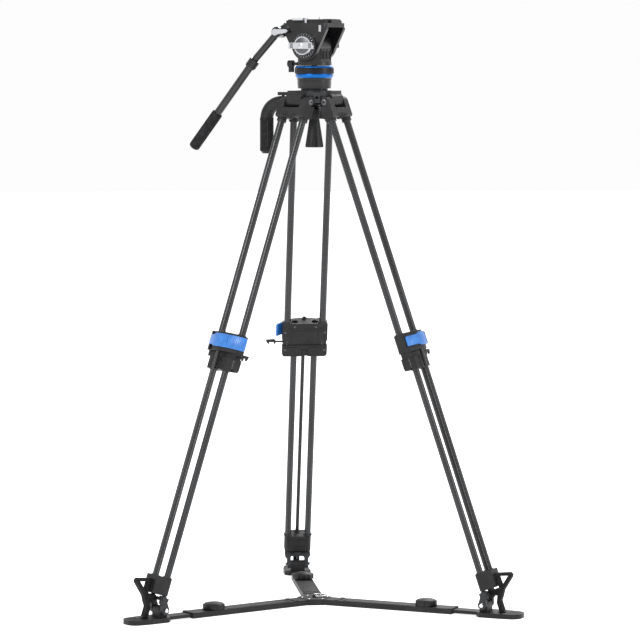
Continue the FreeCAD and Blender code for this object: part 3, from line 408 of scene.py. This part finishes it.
def soften(piece, width_mm, segments=2, weld=False):
    """Round the sharp edges of a piece without changing the mesh underneath."""
    if weld:
        joined = piece.modifiers.new("weld", "WELD")
        joined.merge_threshold = 0.000002
    edge = piece.modifiers.new("edge", "BEVEL")
    edge.width = width_mm * MM
    edge.segments = segments
    edge.limit_method = "ANGLE"
    edge.angle_limit = math.radians(38)
    edge.harden_normals = False
    edge.use_clamp_overlap = True


def finish_cad_nodes():
    for name, node in frame["nodes"].items():
        kind = family(name)
        if kind not in NODE_FINISH:
            continue
        for index in range(len(node.data.materials)):
            node.data.materials[index] = NODE_FINISH[kind]
        if kind in SOFT_EDGE:
            soften(node, SOFT_EDGE[kind] * 0.6, weld=True)
    print(len(NODE_FINISH), "kinds of CAD node finished")


finish_cad_nodes()

# %% [markdown]
# The detail pieces are meshes written by a few small makers: a lathe for round things, an extruder
# for outlines, a tube along a line.  Each maker returns an object whose vertices are already in the
# object's frame, so a piece goes exactly where the CAD says and rides on the right body.


# %% Mesh makers
def build(name, points, faces, material, body, slot, matrix=None, edge=0.0, smooth=38):
    """Make an object, give it a finish and let it ride on a body."""
    mesh = bpy.data.meshes.new(name)
    here = matrix or Matrix.Identity(4)
    mesh.from_pydata([here @ (Vector(point) * MM) for point in points], [], faces)
    mesh.update()
    mesh.materials.append(material)
    for face in mesh.polygons:
        face.use_smooth = True
    mesh.set_sharp_from_angle(angle=math.radians(smooth))
    piece = bpy.data.objects.new(name, mesh)
    bpy.context.scene.collection.objects.link(piece)
    if edge:
        soften(piece, edge)
    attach(piece, body)
    return piece


def lathe(outline, steps=64, radius_at=None):
    """Points and faces of an outline of (radius, height), closed into a ring and turned about Z."""
    points, faces = [], []
    count = len(outline)
    for step in range(steps):
        angle = 2 * math.pi * step / steps
        for radius, height in outline:
            reach = radius if radius_at is None else radius_at(radius, height, step)
            points.append((reach * math.cos(angle), reach * math.sin(angle), height))
    for step in range(steps):
        here, after = step * count, (step + 1) % steps * count
        for index in range(count):
            following = (index + 1) % count
            faces.append((here + index, after + index, after + following, here + following))
    return points, faces


def extrude(outline, low, high):
    """Points and faces of a flat outline (counter-clockwise in X, Y) pushed from low to high."""
    count = len(outline)
    points = [(x, y, z) for z in (low, high) for x, y in outline]
    faces = [tuple(reversed(range(count))), tuple(range(count, 2 * count))]
    for index in range(count):
        following = (index + 1) % count
        faces.append((index, following, count + following, count + index))
    return points, faces


def block(low, high):
    """A box between two corners."""
    (x0, y0, z0), (x1, y1, z1) = low, high
    return extrude([(x0, y0), (x1, y0), (x1, y1), (x0, y1)], z0, z1)


def gather(*shapes):
    """Several shapes as one set of points and faces."""
    points, faces = [], []
    for shape_points, shape_faces in shapes:
        start = len(points)
        points += shape_points
        faces += [tuple(start + corner for corner in face) for face in shape_faces]
    return points, faces


def shifted(shape, matrix):
    """A shape moved by a matrix whose lengths are in millimetres."""
    points, faces = shape
    return [tuple(matrix @ Vector(point)) for point in points], faces


def shift(x, y, z, turn=None):
    matrix = Matrix.Translation((x, y, z))
    return matrix if turn is None else matrix @ turn


print("mesh makers ready")

# %% [markdown]
# The tubes are the longest and most visible parts of the legs.  They are rebuilt here as
# thin-walled tubes with their own surface coordinates, because the weave has to wrap round each
# tube and run along it at the same scale everywhere.  They stand for the CAD tubes, which stay for
# collision.


# %% Carbon tubes
def tube_shape(radius, wall, low, high, x, y, steps=40):
    """An open tube with an inner wall; also returns (round, along) millimetres per face corner."""
    points, faces, charts = [], [], []
    rims = ((radius, low), (radius, high), (radius - wall, high), (radius - wall, low))
    for step in range(steps):
        angle = 2 * math.pi * step / steps
        points += [(x + reach * math.cos(angle), y + reach * math.sin(angle), height)
                   for reach, height in rims]
    arc = 2 * math.pi * radius / steps
    for step in range(steps):
        here, after = 4 * step, 4 * ((step + 1) % steps)
        for side in range(4):
            other = (side + 1) % 4
            faces.append((here + side, after + side, after + other, here + other))
            top, bottom = rims[side][1], rims[other][1]
            charts.append((step * arc, top, (step + 1) * arc, top, (step + 1) * arc, bottom,
                           step * arc, bottom))
    return points, faces, charts


def tubes(name, specs, body, replaced, matrix):
    """Several tubes as one piece with the weave's coordinates."""
    points, faces, charts = [], [], []
    for spec in specs:
        new_points, new_faces, new_charts = tube_shape(*spec)
        start = len(points)
        points += new_points
        faces += [tuple(start + corner for corner in face) for face in new_faces]
        charts += new_charts
    piece = build(name, points, faces, carbon, body, "carbon_tube", matrix, smooth=50)
    chart = piece.data.uv_layers.new(name="wrap")
    flat = [value for row in charts for value in row]
    chart.data.foreach_set("uv", flat)
    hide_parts(replaced)
    return piece


def local_box(node, matrix):
    """Lowest and highest corner of a CAD node in a local frame, in millimetres."""
    inverse = matrix.inverted()
    seen = [inverse @ vertex.co / MM for vertex in frame["nodes"][node].data.vertices]
    low = [min(point[axis] for point in seen) for axis in range(3)]
    high = [max(point[axis] for point in seen) for axis in range(3)]
    return low, high


def fit_tubes():
    for leg in LEGS:
        low, high = local_box(f"upper_tubes_{leg}", leg_frame[leg])
        radius = (high[0] - low[0]) / 2
        spread = high[1] - radius
        tubes(f"carbon_upper_{leg}", [(radius, 1.5, low[2], high[2], 0.0, side * spread)
                                      for side in (-1, 1)],
              f"leg_{leg}_upper", f"upper_tubes_{leg}", leg_frame[leg])
        low, high = local_box(f"lower_tubes_{leg}", leg_frame[leg])
        slim = 9.0
        spread = high[1] - slim
        rod = 5.2
        specs = [(slim, 1.5, low[2], high[2] - 13.0, low[0] + slim, side * spread)
                 for side in (-1, 1)]
        specs.append((rod, 1.2, low[2], high[2], high[0] - rod, 0.0))
        tubes(f"carbon_lower_{leg}", specs, f"leg_{leg}_lower", f"lower_tubes_{leg}",
              leg_frame[leg])
    print("upper tube radius", round(radius, 2), "mm, lower", slim, "mm")


fit_tubes()

# %% [markdown]
# The pan drag ring is the head's most colourful part: a black knurled band between two blue
# anodised rims.  The knurl is real geometry, a ridge and a groove every few degrees, because its
# sparkle comes from the many small edges.


# %% Drag ring
def drag_ring():
    low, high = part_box("pan_drag_ring")
    here = Matrix.Translation((0, 0, low.z))
    band = (high.x - low.x) / 2 / MM
    tall = (high.z - low.z) / MM
    inner = 31.0
    ridges = 72
    band_low, band_high = 11.5, tall - 6.0

    def knurl(radius, height, step):
        return radius - (1.5 if step % 4 in (0, 1) and radius > band - 3 else 0.0)

    outline = [(inner, band_low), (band - 2, band_low), (band - 0.4, band_low + 1.0),
               (band, band_low + 1.6), (band, band_high - 1.6), (band - 0.4, band_high - 1.0),
               (band - 2, band_high), (inner, band_high)]
    grip = build("drag_ring_band", *lathe(outline, ridges * 4, knurl), machined_black,
                 "drag_ring", "black_anodised", here, smooth=25)
    lower = [(inner, 0.2), (band - 6, 0.2), (band - 4.6, 0.6), (band - 1.3, 7.2),
             (band - 1.0, 8.0), (band - 1.5, 9.4), (band - 3.4, 9.8), (band - 3.6, band_low),
             (inner, band_low)]
    upper = [(inner, band_high), (band - 1.6, band_high), (band - 1.2, band_high + 0.5),
             (band - 1.6, band_high + 1.8), (band - 3.6, tall - 0.7), (band - 4.6, tall - 0.1),
             (inner, tall - 0.1)]
    rims = [build(f"drag_ring_{name}_rim", *lathe(outline, 128), blue_anodised, "drag_ring",
                  "blue_anodised", here) for name, outline in (("lower", lower), ("upper", upper))]
    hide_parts("pan_drag_ring")
    marks = [shifted(block((band - 2.6, -0.4, tall - 3.4), (band - 1.4, 0.4, tall - 2.6)),
                     tip("Z", 30 * step).to_4x4()) for step in range(12)]
    build("drag_ring_marks", *gather(*marks), satin_alloy, "drag_ring", "silver_alloy", here)
    print("drag ring", round(band, 1), "mm radius,", ridges, "ridges and", len(rims), "rims")


drag_ring()

# %% [markdown]
# Foam, rubber bands and end caps make the pan handle feel like a tool.  The grip gets shallow rings
# where a hand holds it, a rounded end cap and a collar, all turned about the handle's own axis.

# %% Pan handle
handle_axis = -Vector(joints["handle_length"]["axis"])
handle_low, handle_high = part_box("handle_grip")
handle_middle = (handle_low + handle_high) / 2
handle_frame = axes(handle_middle, tilt_line.cross(handle_axis), tilt_line, handle_axis)


def handle_details():
    low, high = local_box("handle_grip", handle_frame)
    radius = (high[1] - low[1]) / 2
    outline = [(11.0, high[2]), (11.0, low[2] + 6)]
    outline += [(radius - 7, low[2] + 6), (radius - 3.4, low[2] + 0.2), (radius - 0.8, low[2] + 3)]
    height = low[2] + 6
    while height < high[2] - 10:
        outline += [(radius, height), (radius, height + 5.2), (radius - 0.55, height + 5.7),
                    (radius - 0.55, height + 6.3)]
        height += 7.0
    outline += [(radius, height), (radius - 0.6, high[2] - 2), (radius - 3.4, high[2] - 0.1)]
    outline.reverse()
    grip = build("grip_foam", *lathe(outline, 56), foam, "handle_grip", "foam_grip",
                 handle_frame)
    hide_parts("handle_grip")
    cap = [(0.2, low[2] + 0.3), (8.0, low[2] + 0.3), (10.5, low[2] + 1.6), (10.8, low[2] + 9),
           (0.2, low[2] + 9)]
    build("grip_end_cap", *lathe(cap, 48), moulded_black, "handle_grip", "black_plastic",
          handle_frame)
    tube_low, tube_high = local_box("handle_tube", handle_frame)
    collar = (tube_high[1] - tube_low[1]) / 2
    rings = []
    for offset in (3.5, 9.0, 14.5, 20.0):
        top = tube_high[2] - offset
        rings.append(lathe([(collar - 1.0, top - 1.6), (collar + 0.5, top - 1.4),
                            (collar + 0.5, top + 1.4), (collar - 1.0, top + 1.6)], 48))
    build("handle_collar_rings", *gather(*rings), moulded_black, "handle_grip", "black_plastic",
          handle_frame)
    print("grip radius", round(radius, 1), "mm, collar", round(collar, 1), "mm")


handle_details()

# %% [markdown]
# The tilt side of the head carries a big satin dial with a bar to turn it.  A real one has a bright
# chamfer, a dark recessed face and a ring of plain tick marks, so those are separate turned pieces
# on top of the CAD knob.  The other side's lock knob gets the same care in black.


# %% Tilt dial and knobs
def side_frame(side):
    """Z points out of the head's left (+1) or right (-1) face, on the tilt line."""
    outwards = tilt_line * side
    return axes(tilt_centre, head_frame.col[0].to_3d(), outwards.cross(head_frame.col[0].to_3d()),
                outwards)


def tilt_dial():
    right = side_frame(-1)
    high = local_box("drag_dial", right)[1]
    face = 61.3
    ring = [(25.0, face + 0.5), (26.0, face + 1.2), (26.0, face + 8.4), (24.8, face + 10.2),
            (22.4, face + 10.2), (22.0, face + 9.6), (22.0, face + 0.5)]
    build("dial_bright_ring", *lathe(ring, 96), satin_alloy, "drag_dial", "silver_alloy", right)
    inner = [(0.2, face + 9.7), (21.6, face + 9.7), (21.6, face + 10.6), (20.8, face + 11.0),
             (0.2, face + 11.0)]
    build("dial_dark_face", *lathe(inner, 96), dark_alloy, "drag_dial", "silver_alloy", right)
    ticks = [shifted(block((27.8, -0.45, face - 0.1), (31.6, 0.45, face + 0.25)),
                     tip("Z", 15 * step)) for step in range(24)]
    build("dial_ticks", *gather(*ticks), satin_alloy, "tilt_head", "silver_alloy", right)
    bar_top = high[2]
    # Dark strips raised on the bar's ends where its grip grooves are: painted shade, not cut
    # grooves.
    grooves = [block((x - 0.7, -7.0, bar_top - 0.2), (x + 0.7, 7.0, bar_top + 0.5))
               for x in (-31, -28, -25, 25, 28, 31)]
    build("dial_bar_groove_shades", *gather(*grooves), dark_alloy, "drag_dial", "silver_alloy", right)
    hub = [(0.2, bar_top - 0.4), (7.5, bar_top - 0.4), (7.5, bar_top + 0.4), (6.6, bar_top + 1.0),
           (0.2, bar_top + 1.0)]
    build("dial_hub", *lathe(hub, 48), satin_alloy, "drag_dial", "silver_alloy", right)
    left = side_frame(1)
    high = local_box("tilt_lock_knob", left)[1]
    cap = [(0.2, high[2] - 0.3), (11.0, high[2] - 0.3), (11.0, high[2] + 0.5),
           (9.8, high[2] + 1.1), (0.2, high[2] + 1.1)]
    build("tilt_lock_cap", *lathe(cap, 48), moulded_grey, "tilt_lock", "black_plastic", left)
    print("dial stands", round(bar_top - face, 1), "mm proud")


tilt_dial()

# %% [markdown]
# Between the two side cheeks the head shows its ribbed tilt housing; on top sits the sliding
# plate with rubber strips that grip the camera.  These are small repeated shapes, so each is one
# loop over an offset.


# %% Head body and camera plate
def port_collar():
    """Two angled cheeks beside the accessory port, above the shoulders of the front legs."""
    front, back = -70.6, -46.0
    halves = []
    for side in (-1, 1):
        outline = [(side * x, y) for x, y in ((36.0, -56.0), (19.5, front), (9.9, front),
                                              (9.9, back), (36.0, back))]
        halves.append(extrude(outline[::-1] if side > 0 else outline, 16.4, 29.6))
    build("port_collar", *gather(*halves), moulded_grey, "crown", "grey_insert", crown_frame,
          edge=0.6)


def head_details():
    housing_high = local_box("pan_housing", head_frame)[1]
    ribs = [block((36.0, y - 2.2, -38.0), (37.2, y + 2.2, -9.0)) for y in (-9.0, 9.0)]
    ribs += [block((36.0, y - 1.0, -38.0), (37.6, y + 1.0, -9.0)) for y in (-27.0, 27.0)]
    build("housing_ribs", *gather(*ribs), machined_black, "pan_head", "black_anodised",
          head_frame, edge=0.3)
    for side in (-1, 1):
        outside = side_frame(side)
        rim = [(33.2, 61.0 - 1.4), (34.5, 61.0 - 1.4), (34.5, 60.8), (33.9, 61.3),
               (33.2, 61.3)]
        build(f"cheek_rim_{'left' if side > 0 else 'right'}", *lathe(rim, 96), dark_alloy,
              "tilt_head", "black_anodised", outside)
        screws = []
        for x, y in ((-52.0, 51.0), (50.0, 51.0)):
            head = [(0.2, 55.0), (3.6, 55.0), (3.6, 56.4), (3.0, 57.0), (1.6, 57.0),
                    (1.6, 55.9), (0.2, 55.9)]
            screws.append(shifted(lathe(head, 24), shift(x, -side * y, 0)))
        build(f"cheek_screws_{'left' if side > 0 else 'right'}", *gather(*screws), dark_alloy,
              "tilt_head", "black_anodised", outside)
    plate_low, plate_high = local_box("camera_plate", head_frame)
    top = plate_high[2]
    strips = []
    for x0, x1 in ((plate_low[0] + 8, -14.0), (38.0, plate_high[0] - 8)):
        for y in range(-20, 21, 5):
            strips.append(block((x0, y - 1.7, top - 0.4), (x1, y + 1.7, top + 0.6)))
    build("plate_grip_strips", *gather(*strips), soft_rubber, "quick_plate", "rubber",
          head_frame, edge=0.25)
    rails, rail_side = [], 46.0
    for side in (-1, 1):
        for x in range(-56, 60, 7):
            middle = side * rail_side
            rails.append(block((x - 2.2, middle - 0.7, 68.8), (x + 2.2, middle + 0.7, 69.4)))
    build("rail_knurls", *gather(*rails), machined_black, "tilt_head", "black_anodised",
          head_frame)
    port_collar()
    print("plate strips", len(strips), "ribs", len(ribs), "housing to", round(housing_high[2]))


head_details()


# %% Level vial
def level_vial():
    """A round spirit level on the deck's rear corner: a dark cup and green fluid."""
    spot = place(head_frame, -58.0, 47.0, 62.0)
    cup = [(6.2, -0.5), (8.2, -0.5), (8.2, 2.6), (7.6, 3.2), (6.2, 3.2)]
    build("level_cup", *lathe(cup, 48), dark_alloy, "tilt_head", "black_anodised", spot)
    fluid = Finish("level_fluid", roughness=0.06, coat_weight=0.8)
    rings = fluid.noise(120.0, 1.0)
    fluid.drive("Base Color", fluid.mix(rings, (0.28, 0.62, 0.08), (0.38, 0.72, 0.12)))
    build("level_window", *lathe([(0.2, 0.5), (6.1, 0.5), (6.1, 2.5), (4.5, 2.9), (0.2, 3.1)], 48),
          fluid.material, "tilt_head", "black_anodised", spot)
    print("level vial placed")


level_vial()

# %% [markdown]
# The joints of the legs are where the eye stops: the hip casting with its toothed band and screw
# caps, the waist clamp with its framed inner face, the lever with two bright ridges and a ribbed
# thumb end.  All of them repeat on the three legs, so one loop makes each set.


# %% Hip castings
def hip_details(leg):
    here = leg_frame[leg]
    body = f"leg_{leg}_upper"
    caps, hex_socket_shades = [], []
    for side in (-1, 1):
        turn = ALONG_Y if side > 0 else tip("X", 90)
        cap = [(0.2, 0.0), (8.5, 0.0), (8.5, 1.2), (7.6, 1.9), (4.0, 1.9), (4.0, 0.9), (0.2, 0.9)]
        caps.append(shifted(lathe(cap, 40), shift(0, side * 63.7, 0, turn)))
        hex_socket_shades.append(shifted(lathe([(0.2, 0.2), (3.4, 0.2), (3.4, 1.0), (0.2, 1.0)], 6),
                             shift(0, side * 64.2, 0, turn)))
    build(f"hip_caps_{leg}", *gather(*caps), dark_alloy, body, "bright_steel", here)
    # A black hexagon in each cap's recess stands for the hex socket: painted shade, not a hole.
    build(f"hip_hex_socket_shades_{leg}", *gather(*hex_socket_shades), machined_black, body, "bright_steel", here)
    teeth = [block((15.6, y - 2.0, -45.0), (17.2, y + 2.0, -38.0)) for y in range(-27, 28, 9)]
    build(f"hip_teeth_{leg}", *gather(*teeth), casting_paint, body, "black_casting", here,
          edge=0.4)
    collars = []
    for side in (-1, 1):
        ring = [(9.7, -57.0), (12.6, -57.0), (13.4, -56.0), (13.4, -52.6), (9.7, -52.6)]
        collars.append(shifted(lathe(ring, 48), shift(0, side * 50.0, 0)))
    build(f"hip_collars_{leg}", *gather(*collars), moulded_grey, body, "black_plastic", here)
    return len(teeth)


print("hip details:", sum(hip_details(leg) for leg in LEGS), "teeth")


# %% Waist clamps
def slotted_screw(radius, proud):
    """A screw head that faces +Z, with its cross slot as thin strips just proud of the top, to
    carry painted shade.
    """
    head = lathe([(0.2, -0.4), (radius, -0.4), (radius, proud * 0.6), (radius * 0.8, proud),
                  (0.2, proud)], 24)
    slot_shades = [block((-radius * 0.62, -0.35, proud - 0.1), (radius * 0.62, 0.35, proud + 0.08)),
             block((-0.35, -radius * 0.62, proud - 0.1), (0.35, radius * 0.62, proud + 0.08))]
    return head, gather(*slot_shades)


def waist_details(leg):
    here = leg_frame[leg]
    body = f"leg_{leg}_upper"
    clamp_low, clamp_high = local_box(f"waist_clamp_{leg}", here)
    block_low, block_high = local_box(f"waist_block_{leg}", here)
    inner = clamp_low[0]
    facing = tip("Y", -90)
    heads, slot_shades = [], []
    spots = [(side * 30.0, clamp_high[2] - 9.0) for side in (-1, 1)]
    spots += [(side * 56.0, (clamp_high[2] + clamp_low[2]) / 2) for side in (-1, 1)]
    spots += [(side * 56.0, block_low[2] + 20.0) for side in (-1, 1)]
    for y, z in spots:
        head, slot_shade_pair = slotted_screw(3.2, 0.9)
        heads.append(shifted(head, shift(inner, y, z, facing)))
        slot_shades.append(shifted(slot_shade_pair, shift(inner, y, z, facing)))
    build(f"waist_screws_{leg}", *gather(*heads), dark_alloy, body, "bright_steel", here)
    # The cross on each screw head is black strips: painted shade, not a cut slot.
    build(f"waist_screw_slot_shades_{leg}", *gather(*slot_shades), machined_black, body, "bright_steel", here)
    frame_bars = [
        block((inner - 0.7, -48.0, clamp_high[2] - 15.6),
              (inner + 0.4, 48.0, clamp_high[2] - 14.2)),
        block((inner - 0.7, -40.0, clamp_low[2] + 30.0), (inner + 0.4, 40.0, clamp_low[2] + 31.4)),
        block((inner - 0.9, -60.0, block_high[2] - 22.0),
              (inner + 0.4, -12.0, block_high[2] - 20.4)),
        block((inner - 0.9, 12.0, block_high[2] - 22.0), (inner + 0.4, 60.0, block_high[2] - 20.4)),
    ]
    build(f"waist_frame_{leg}", *gather(*frame_bars), casting_paint, body, "black_casting", here,
          edge=0.3)
    seals = []
    for side in (-1, 1):
        seals.append(shifted(lathe([(9.7, 0.0), (13.0, 0.0), (12.0, 2.6), (9.7, 2.6)], 48),
                             shift(0, side * 50.0, clamp_high[2] - 0.2)))
        seals.append(shifted(lathe([(9.2, -2.4), (11.8, -2.4), (12.6, 0.0), (9.2, 0.0)], 48),
                             shift(6.0, side * 29.0, block_low[2] + 0.2)))
    build(f"waist_seals_{leg}", *gather(*seals), moulded_grey, body, "black_plastic", here)
    return inner


print("waist inner faces at", [round(waist_details(leg), 1) for leg in LEGS])


# %% Clamp levers
def bow_x(y, lift):
    """How far out the clamp's curved face is at y, raised by lift."""
    sagitta, half = 23.0, 64.0
    radius = (half * half + sagitta * sagitta) / (2 * sagitta)
    return 36.0 - radius + math.sqrt((radius + lift) ** 2 - y * y)


def lever_details(leg):
    here = leg_frame[leg]
    low, high = local_box(f"flip_lever_{leg}", here)
    ridges = []
    for y in (38.0, 45.0):
        ridge = []
        for z0, z1 in ((low[2] + 2.0, high[2] - 2.0),):
            x0, x1 = bow_x(y - 1.2, 5.6), bow_x(y + 1.2, 5.6)
            lip0, lip1 = bow_x(y - 0.8, 7.4), bow_x(y + 0.8, 7.4)
            ridge = extrude([(x0, y - 1.2), (lip0, y - 0.8), (lip1, y + 0.8), (x1, y + 1.2)],
                            z0, z1)
        ridges.append(ridge)
    bars = []
    for y in (56.0, 60.0, 64.0, 68.0, 72.0, 76.0):
        x0 = bow_x(y, 5.6)
        bars.append(extrude([(x0, y - 0.9), (x0 + 1.3, y - 0.5), (x0 + 0.9, y + 0.7),
                             (x0 - 0.6, y + 0.9)], low[2] + 3.0, high[2] - 3.0))
    build(f"lever_ridges_{leg}", *gather(*ridges, *bars), moulded_blue, f"lever_{leg}",
          "lever_blue", here)
    pin = [(0.2, 0.0), (3.4, 0.0), (3.4, 1.0), (2.6, 1.6), (0.2, 1.6)]
    clamp_high = local_box(f"waist_clamp_{leg}", here)[1][2]
    build(f"lever_pin_{leg}", *lathe(pin, 32), polished_steel, f"leg_{leg}_upper",
          "bright_steel", place(here, 21.0, -55.0, clamp_high - 0.3))
    return len(ridges) + len(bars)


print("lever ribs:", sum(lever_details(leg) for leg in LEGS))


# %% Ankles and feet
def ankle_details(leg):
    here = leg_frame[leg]
    low, high = local_box(f"ankle_block_{leg}", here)
    seals = [shifted(lathe([(9.2, 0.0), (12.6, 0.0), (11.6, 3.0), (9.2, 3.0)], 48),
                     shift(6.0, side * 29.0, high[2] - 0.2)) for side in (-1, 1)]
    seals.append(shifted(lathe([(5.4, 0.0), (8.4, 0.0), (7.6, 3.0), (5.4, 3.0)], 36),
                         shift(27.0, 0.0, high[2] - 0.2)))
    build(f"ankle_seals_{leg}", *gather(*seals), moulded_grey, f"leg_{leg}_lower",
          "black_plastic", here)
    grooves = [block((low[0] - 0.7, -26.0, high[2] - z - 0.8),
                     (low[0] + 0.3, 26.0, high[2] - z + 0.8))
               for z in (10.0, 15.0, 32.0)]
    build(f"ankle_ribs_{leg}", *gather(*grooves), casting_paint, f"leg_{leg}_lower",
          "black_casting", here, edge=0.3)
    foot = foot_frame[leg]
    ribs = [block((x - 1.2, -30.0 + max(0, x - 60) * 0.25, 12.8),
                  (x + 1.2, 30.0 - max(0, x - 60) * 0.25, 13.7)) for x in range(66, 99, 6)]
    build(f"foot_ribs_{leg}", *gather(*ribs), arm_black, f"foot_{leg}", "arm_plastic", foot,
          edge=0.3)
    nuts = [shifted(lathe([(0.2, 0.0), (6.0, 0.0), (6.0, 2.4), (5.0, 3.0), (0.2, 3.0)], 6),
                    shift(0, side * 34.0, 32.0, ALONG_Y if side > 0 else tip("X", 90)))
            for side in (-1, 1)]
    build(f"axle_nuts_{leg}", *gather(*nuts), polished_steel, f"saddle_{leg}", "bright_steel",
          foot)
    return len(ribs)


print("foot ribs:", sum(ankle_details(leg) for leg in LEGS))

# %% [markdown]
# The spreader's arms are flat channels with a long shallow panel on top, and each has a big hand
# knob that locks the telescoping foot bar.  The knob gets a turned cap and a dark metal ring, so
# that it reads as an assembled knob and not as a puck.


# %% Spreader arms and knobs
def arm_details(leg):
    outwards = Vector(joints[f"foot_{leg}_reach"]["axis"])
    arm = axes((0, 0, 0), outwards, up.cross(outwards), up)
    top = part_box("spreader_arms")[1].z / MM
    lines = [block((96.0, side * 21.0 - 1.0, top - 0.3), (300.0, side * 21.0 + 1.0, top + 0.7))
             for side in (-1, 1)]
    lines += [block((96.0, -22.0, top - 0.3), (98.0, 22.0, top + 0.7)),
              block((298.0, -22.0, top - 0.3), (300.0, 22.0, top + 0.7)),
              block((70.0, -26.0, top - 0.3), (82.0, 26.0, top + 1.4)),
              block((408.0, -26.0, top - 0.3), (420.0, 26.0, top + 0.9))]
    build(f"arm_panel_{leg}", *gather(*lines), arm_black, "spreader", "arm_plastic", arm,
          edge=0.4)
    knob_low, knob_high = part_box(f"arm_lock_knob_{leg}")
    centre = (knob_low + knob_high) / 2
    here = Matrix.Translation((centre.x, centre.y, 0))
    tall = knob_high.z / MM
    cap = [(0.2, tall - 0.4), (13.0, tall - 0.4), (13.0, tall + 0.3), (11.6, tall + 0.9),
           (0.2, tall + 0.9)]
    build(f"knob_cap_{leg}", *lathe(cap, 64), moulded_grey, f"arm_knob_{leg}", "black_plastic",
          here)
    ring = [(15.5, tall - 1.2), (17.0, tall - 1.2), (17.0, tall + 0.3), (16.4, tall + 0.6),
            (15.5, tall + 0.3)]
    build(f"knob_ring_{leg}", *lathe(ring, 64), dark_alloy, f"arm_knob_{leg}", "black_plastic",
          here)
    return tall


print("knob tops at", [round(arm_details(leg), 1) for leg in LEGS])


# %% Hub and crown
def hub_and_crown():
    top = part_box("spreader_arms")[1].z / MM
    bolts = []
    for leg in LEGS:
        outwards = Vector(joints[f"foot_{leg}_reach"]["axis"])
        turn = Matrix.Rotation(math.atan2(outwards.y, outwards.x), 4, "Z")
        for side in (-1, 1):
            spot = turn @ Vector((31.0, side * 17.0, top + 0.8))
            head = slotted_screw(3.6, 1.2)[0]
            bolts.append(shifted(head, Matrix.Translation(spot)))
    build("hub_bolts", *gather(*bolts), polished_steel, "spreader", "bright_steel")
    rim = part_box("crown")[1].z
    groove = [(45.6, 0.0), (48.0, 0.0), (48.0, 0.6), (45.6, 0.6)]
    build("crown_rim_ring", *lathe(groove, 96), dark_alloy, "crown", "black_casting",
          Matrix.Translation((0, 0, rim - 0.0001)))
    print("hub bolts", len(bolts), "crown rim at", round(rim, 4))


hub_and_crown()


# %% [markdown]
# The carry handle is a bent tube with a soft sleeve on its hanging part.  The sleeve has a thick
# rim at both ends, and six light grey strips run down its length, one on its outer side: painted
# highlights.


# %% Carry handle sleeve
def carry_sleeve():
    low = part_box("carry_handle")[0]
    outwards = Vector((math.cos(math.radians(150)), math.sin(math.radians(150)), 0))
    here = axes(outwards * 0.144 + Vector((0, 0, low.z)), outwards, up.cross(outwards), up)
    radius = 18.0
    sleeve = [(radius - 1.0, 6.0), (radius + 0.9, 8.0), (radius + 1.1, 12.0), (radius + 0.8, 15.0),
              (radius + 0.8, 92.0), (radius + 1.1, 95.0), (radius + 0.9, 98.0),
              (radius - 1.0, 99.0)]
    build("carry_sleeve", *lathe(sleeve, 56), soft_rubber, "crown", "rubber", here)
    # The light grey strips down the sleeve are painted highlights.
    painted_highlight_strips = [block((radius + 0.2, -1.0, 18.0), (radius + 1.3, 1.0, 90.0))]
    painted_highlight_strips += [shifted(block((radius + 0.3, -0.8, 18.0), (radius + 1.2, 0.8, 90.0)),
                      tip("Z", turn)) for turn in (60, 120, 180, 240, 300)]
    build("carry_painted_highlight_strips", *gather(*painted_highlight_strips), moulded_grey, "crown", "rubber", here, edge=0.2)
    print("sleeve on the carry handle from", round(low.z, 3))


carry_sleeve()

# %% [markdown]
# The studio.  The world is a plain near-white and the floor glows by itself, so both stay pale and
# the tripod stands out against them.  A few soft boxes of limited size draw highlights along the
# tubes and castings.  So much white round a black object also lifts its blacks towards grey.


# %% Floor
def stage_plane(name, corners, colour, glow):
    """A large flat sheet that glows a little; part of the studio, not of the tripod."""
    mesh = bpy.data.meshes.new(name)
    mesh.from_pydata(corners, [], [(0, 1, 2, 3)])
    finish = Finish(name, base_color=(colour, colour, colour), roughness=0.9,
                    emission_color=(1.0, 1.0, 1.0), emission_strength=glow,
                    specular_ior_level=0.0)
    mesh.materials.append(finish.material)
    sheet = bpy.data.objects.new(name, mesh)
    bpy.context.scene.collection.objects.link(sheet)
    return sheet


FLOOR_Z = -0.0005
stage_plane("studio_floor", [(-30, -30, FLOOR_Z), (30, -30, FLOOR_Z), (30, 30, FLOOR_Z),
                             (-30, 30, FLOOR_Z)], 0.75, 0.78)
print("floor laid at", FLOOR_Z)

# %% World and soft boxes
world = bpy.data.worlds.new("studio")
world.use_nodes = True
backdrop = world.node_tree.nodes["Background"]
backdrop.inputs["Color"].default_value = (1.0, 1.0, 1.0, 1.0)
backdrop.inputs["Strength"].default_value = 0.98
bpy.context.scene.world = world
bpy.context.scene.view_settings.view_transform = "Standard"


def soft_box(name, position, size, watts):
    """A square light that looks at the middle of the tripod."""
    light = bpy.data.lights.new(name, "AREA")
    light.shape = "SQUARE"
    light.size = size
    light.energy = watts
    lamp = bpy.data.objects.new(name, light)
    lamp.location = position
    aim = Vector((0, 0, 0.9)) - Vector(position)
    lamp.rotation_euler = aim.to_track_quat("-Z", "Y").to_euler()
    bpy.context.scene.collection.objects.link(lamp)


soft_box("key_light", (-3.4, -4.0, 3.8), 1.4, 150)
soft_box("fill_light", (4.4, -2.6, 2.2), 1.6, 60)
soft_box("rim_light", (1.8, 4.2, 3.8), 2.0, 110)
print("studio lit")
